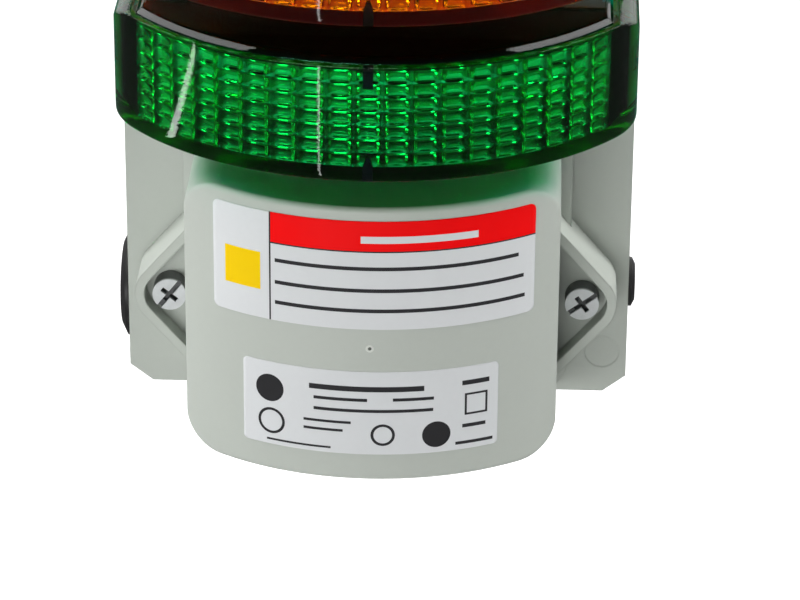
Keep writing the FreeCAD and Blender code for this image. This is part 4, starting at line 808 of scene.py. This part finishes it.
def studio_floor(height, reach=6.0):
    """A wide pale floor at a height (mm): white to the camera, with the light's soft shade kept.

    Gloss sees it dark in front and white far behind, and glass sees it white behind. From below it is clear.
    """
    finish, tree, shader, output = new_finish("studio floor")
    y = axes(tree, object_place(tree))["Y"]
    behind = maths(tree, "MULTIPLY", y, 6.0, clamp=True)
    far = maths(tree, "MULTIPLY_ADD", y, 1.5, -1.2, clamp=True)
    path = tree.nodes.new("ShaderNodeLightPath").outputs
    gloss = maths(tree, "MULTIPLY", path["Is Glossy Ray"], far)
    through = maths(tree, "MULTIPLY", path["Is Transmission Ray"], behind)
    level = maths(tree, "MAXIMUM", path["Is Camera Ray"], maths(tree, "MAXIMUM", gloss, through))
    pale = blend_colour(tree, path["Is Glossy Ray"], (0.6, 0.6, 0.6, 1.0), (0.06, 0.06, 0.06, 1.0))
    connect(tree, shader, Base_Color=pale, Roughness=0.9, Specular_IOR_Level=0.0)
    glow = tree.nodes.new("ShaderNodeEmission")
    connect(tree, glow, Color=WHITE, Strength=maths(tree, "MULTIPLY", level, 0.75))
    both = tree.nodes.new("ShaderNodeAddShader")
    connect(tree, both, i0=shader.outputs[0], i1=glow.outputs[0])
    under = tree.nodes.new("ShaderNodeMixShader")
    back = tree.nodes.new("ShaderNodeNewGeometry").outputs["Backfacing"]
    clear = tree.nodes.new("ShaderNodeBsdfTransparent")
    connect(tree, under, i0=back, i1=both.outputs[0], i2=clear.outputs[0])
    connect(tree, output, Surface=under.outputs[0])
    mesh = bpy.data.meshes.new("studio_floor")
    corners = [(x * reach, y * reach, height * MM) for x, y in ((-1, -1), (1, -1), (1, 1), (-1, 1))]
    mesh.from_pydata(corners, [], [(0, 1, 2, 3)])
    mesh.materials.append(finish)
    floor = add_object("studio_floor", mesh)


def studio_air():
    """Room light: white to the camera; gloss and glass see white behind the object and dim before it."""
    world = bpy.data.worlds.new("studio air")
    bpy.context.scene.world = world
    world.use_nodes = True
    tree = world.node_tree
    dark = 0.05
    way = axes(tree, tree.nodes.new("ShaderNodeTexCoord").outputs["Generated"])
    behind = maths(tree, "MULTIPLY_ADD", way["Y"], 4.0, -2.6, clamp=True)
    path = tree.nodes.new("ShaderNodeLightPath").outputs
    ahead = maths(tree, "MULTIPLY_ADD", path["Is Transmission Ray"], 0.3, 0.02)
    seen = maths(tree, "MAXIMUM", path["Is Glossy Ray"], path["Is Transmission Ray"])
    gloss = maths(tree, "ADD", maths(tree, "MULTIPLY", behind, maths(tree, "SUBTRACT", 0.98, ahead)), ahead)
    level = maths(tree, "MULTIPLY_ADD", seen, maths(tree, "SUBTRACT", gloss, dark), dark)
    camera = path["Is Camera Ray"]
    level = maths(tree, "ADD", maths(tree, "MULTIPLY", level, maths(tree, "SUBTRACT", 1.0, camera)), camera)
    connect(tree, tree.nodes["Background"], Color=WHITE, Strength=level)


def photo_camera():
    """The photograph's viewpoint: turned and tilted round a point on the light, long lens, no shift."""
    pitch, yaw, roll = 0.4537856, -0.0359978, 0.0082932
    distance = 716.3988
    aim = Vector((4.0127, -24.0, -65.644))
    ahead = Vector((math.sin(yaw) * math.cos(pitch), math.cos(yaw) * math.cos(pitch), -math.sin(pitch)))
    level = Vector((math.cos(yaw), -math.sin(yaw), 0.0))
    steep = level.cross(ahead)
    right = math.cos(roll) * level + math.sin(roll) * steep
    up = math.cos(roll) * steep - math.sin(roll) * level
    place = (aim - ahead * distance) * MM
    lens = bpy.data.cameras.new("photo_camera")
    lens.lens = 178.994
    lens.sensor_width = 36.0
    lens.clip_start = 0.01
    lens.clip_end = 50.0
    camera = add_object("photo_camera", lens)
    camera.matrix_world = Matrix((
        (right.x, up.x, -ahead.x, place.x),
        (right.y, up.y, -ahead.y, place.y),
        (right.z, up.z, -ahead.z, place.z),
        (0, 0, 0, 1)))
    bpy.context.scene.camera = camera


bpy.context.scene.view_settings.view_transform = "Standard"
studio_floor(-250.0)
studio_air()
softbox("left_softbox", (-790, 130, 620), LIGHT_MIDDLE, LEFT_SLANT, (1000, 420), 12.0, glossy=False)
softbox("left_card", (-770, 126, 604), LIGHT_MIDDLE, LEFT_SLANT, (1000, 420), 4.2, diffuse=False)
softbox("right_softbox", (800, 130, 620), LIGHT_MIDDLE, RIGHT_SLANT, (900, 320), 11.5, glossy=False)
softbox("right_card", (780, 126, 604), LIGHT_MIDDLE, RIGHT_SLANT, (900, 320), 3.2, diffuse=False)
softbox("front_low", (-400, -1230, -150), LIGHT_MIDDLE, ACROSS, (1000, 360), 12.0, glossy=False)
softbox("front_card", (-330, -1250, -90), LIGHT_MIDDLE, ACROSS, (1100, 500), 4.5, diffuse=False)
for tier, power in BEAM_POWER.items():
    middle = TIER_LOW[tier] + BEAM_HEIGHT
    softbox(f"{tier}_beam", (-8, -400, middle + BEAM_RISE), (-2, -67, middle), ACROSS, (72, 11), power,
            glossy=False, spread=1.5)
softbox("side_strip", (-339, -102, -148), (-32, -56, -12), STRIP_SLANT, (100, 5), 0.011, diffuse=False)
softbox("front_strip", (-108, -322, -133), (-8, -66, -12), UPRIGHT, (90, 5), 0.009, diffuse=False)
photo_camera()
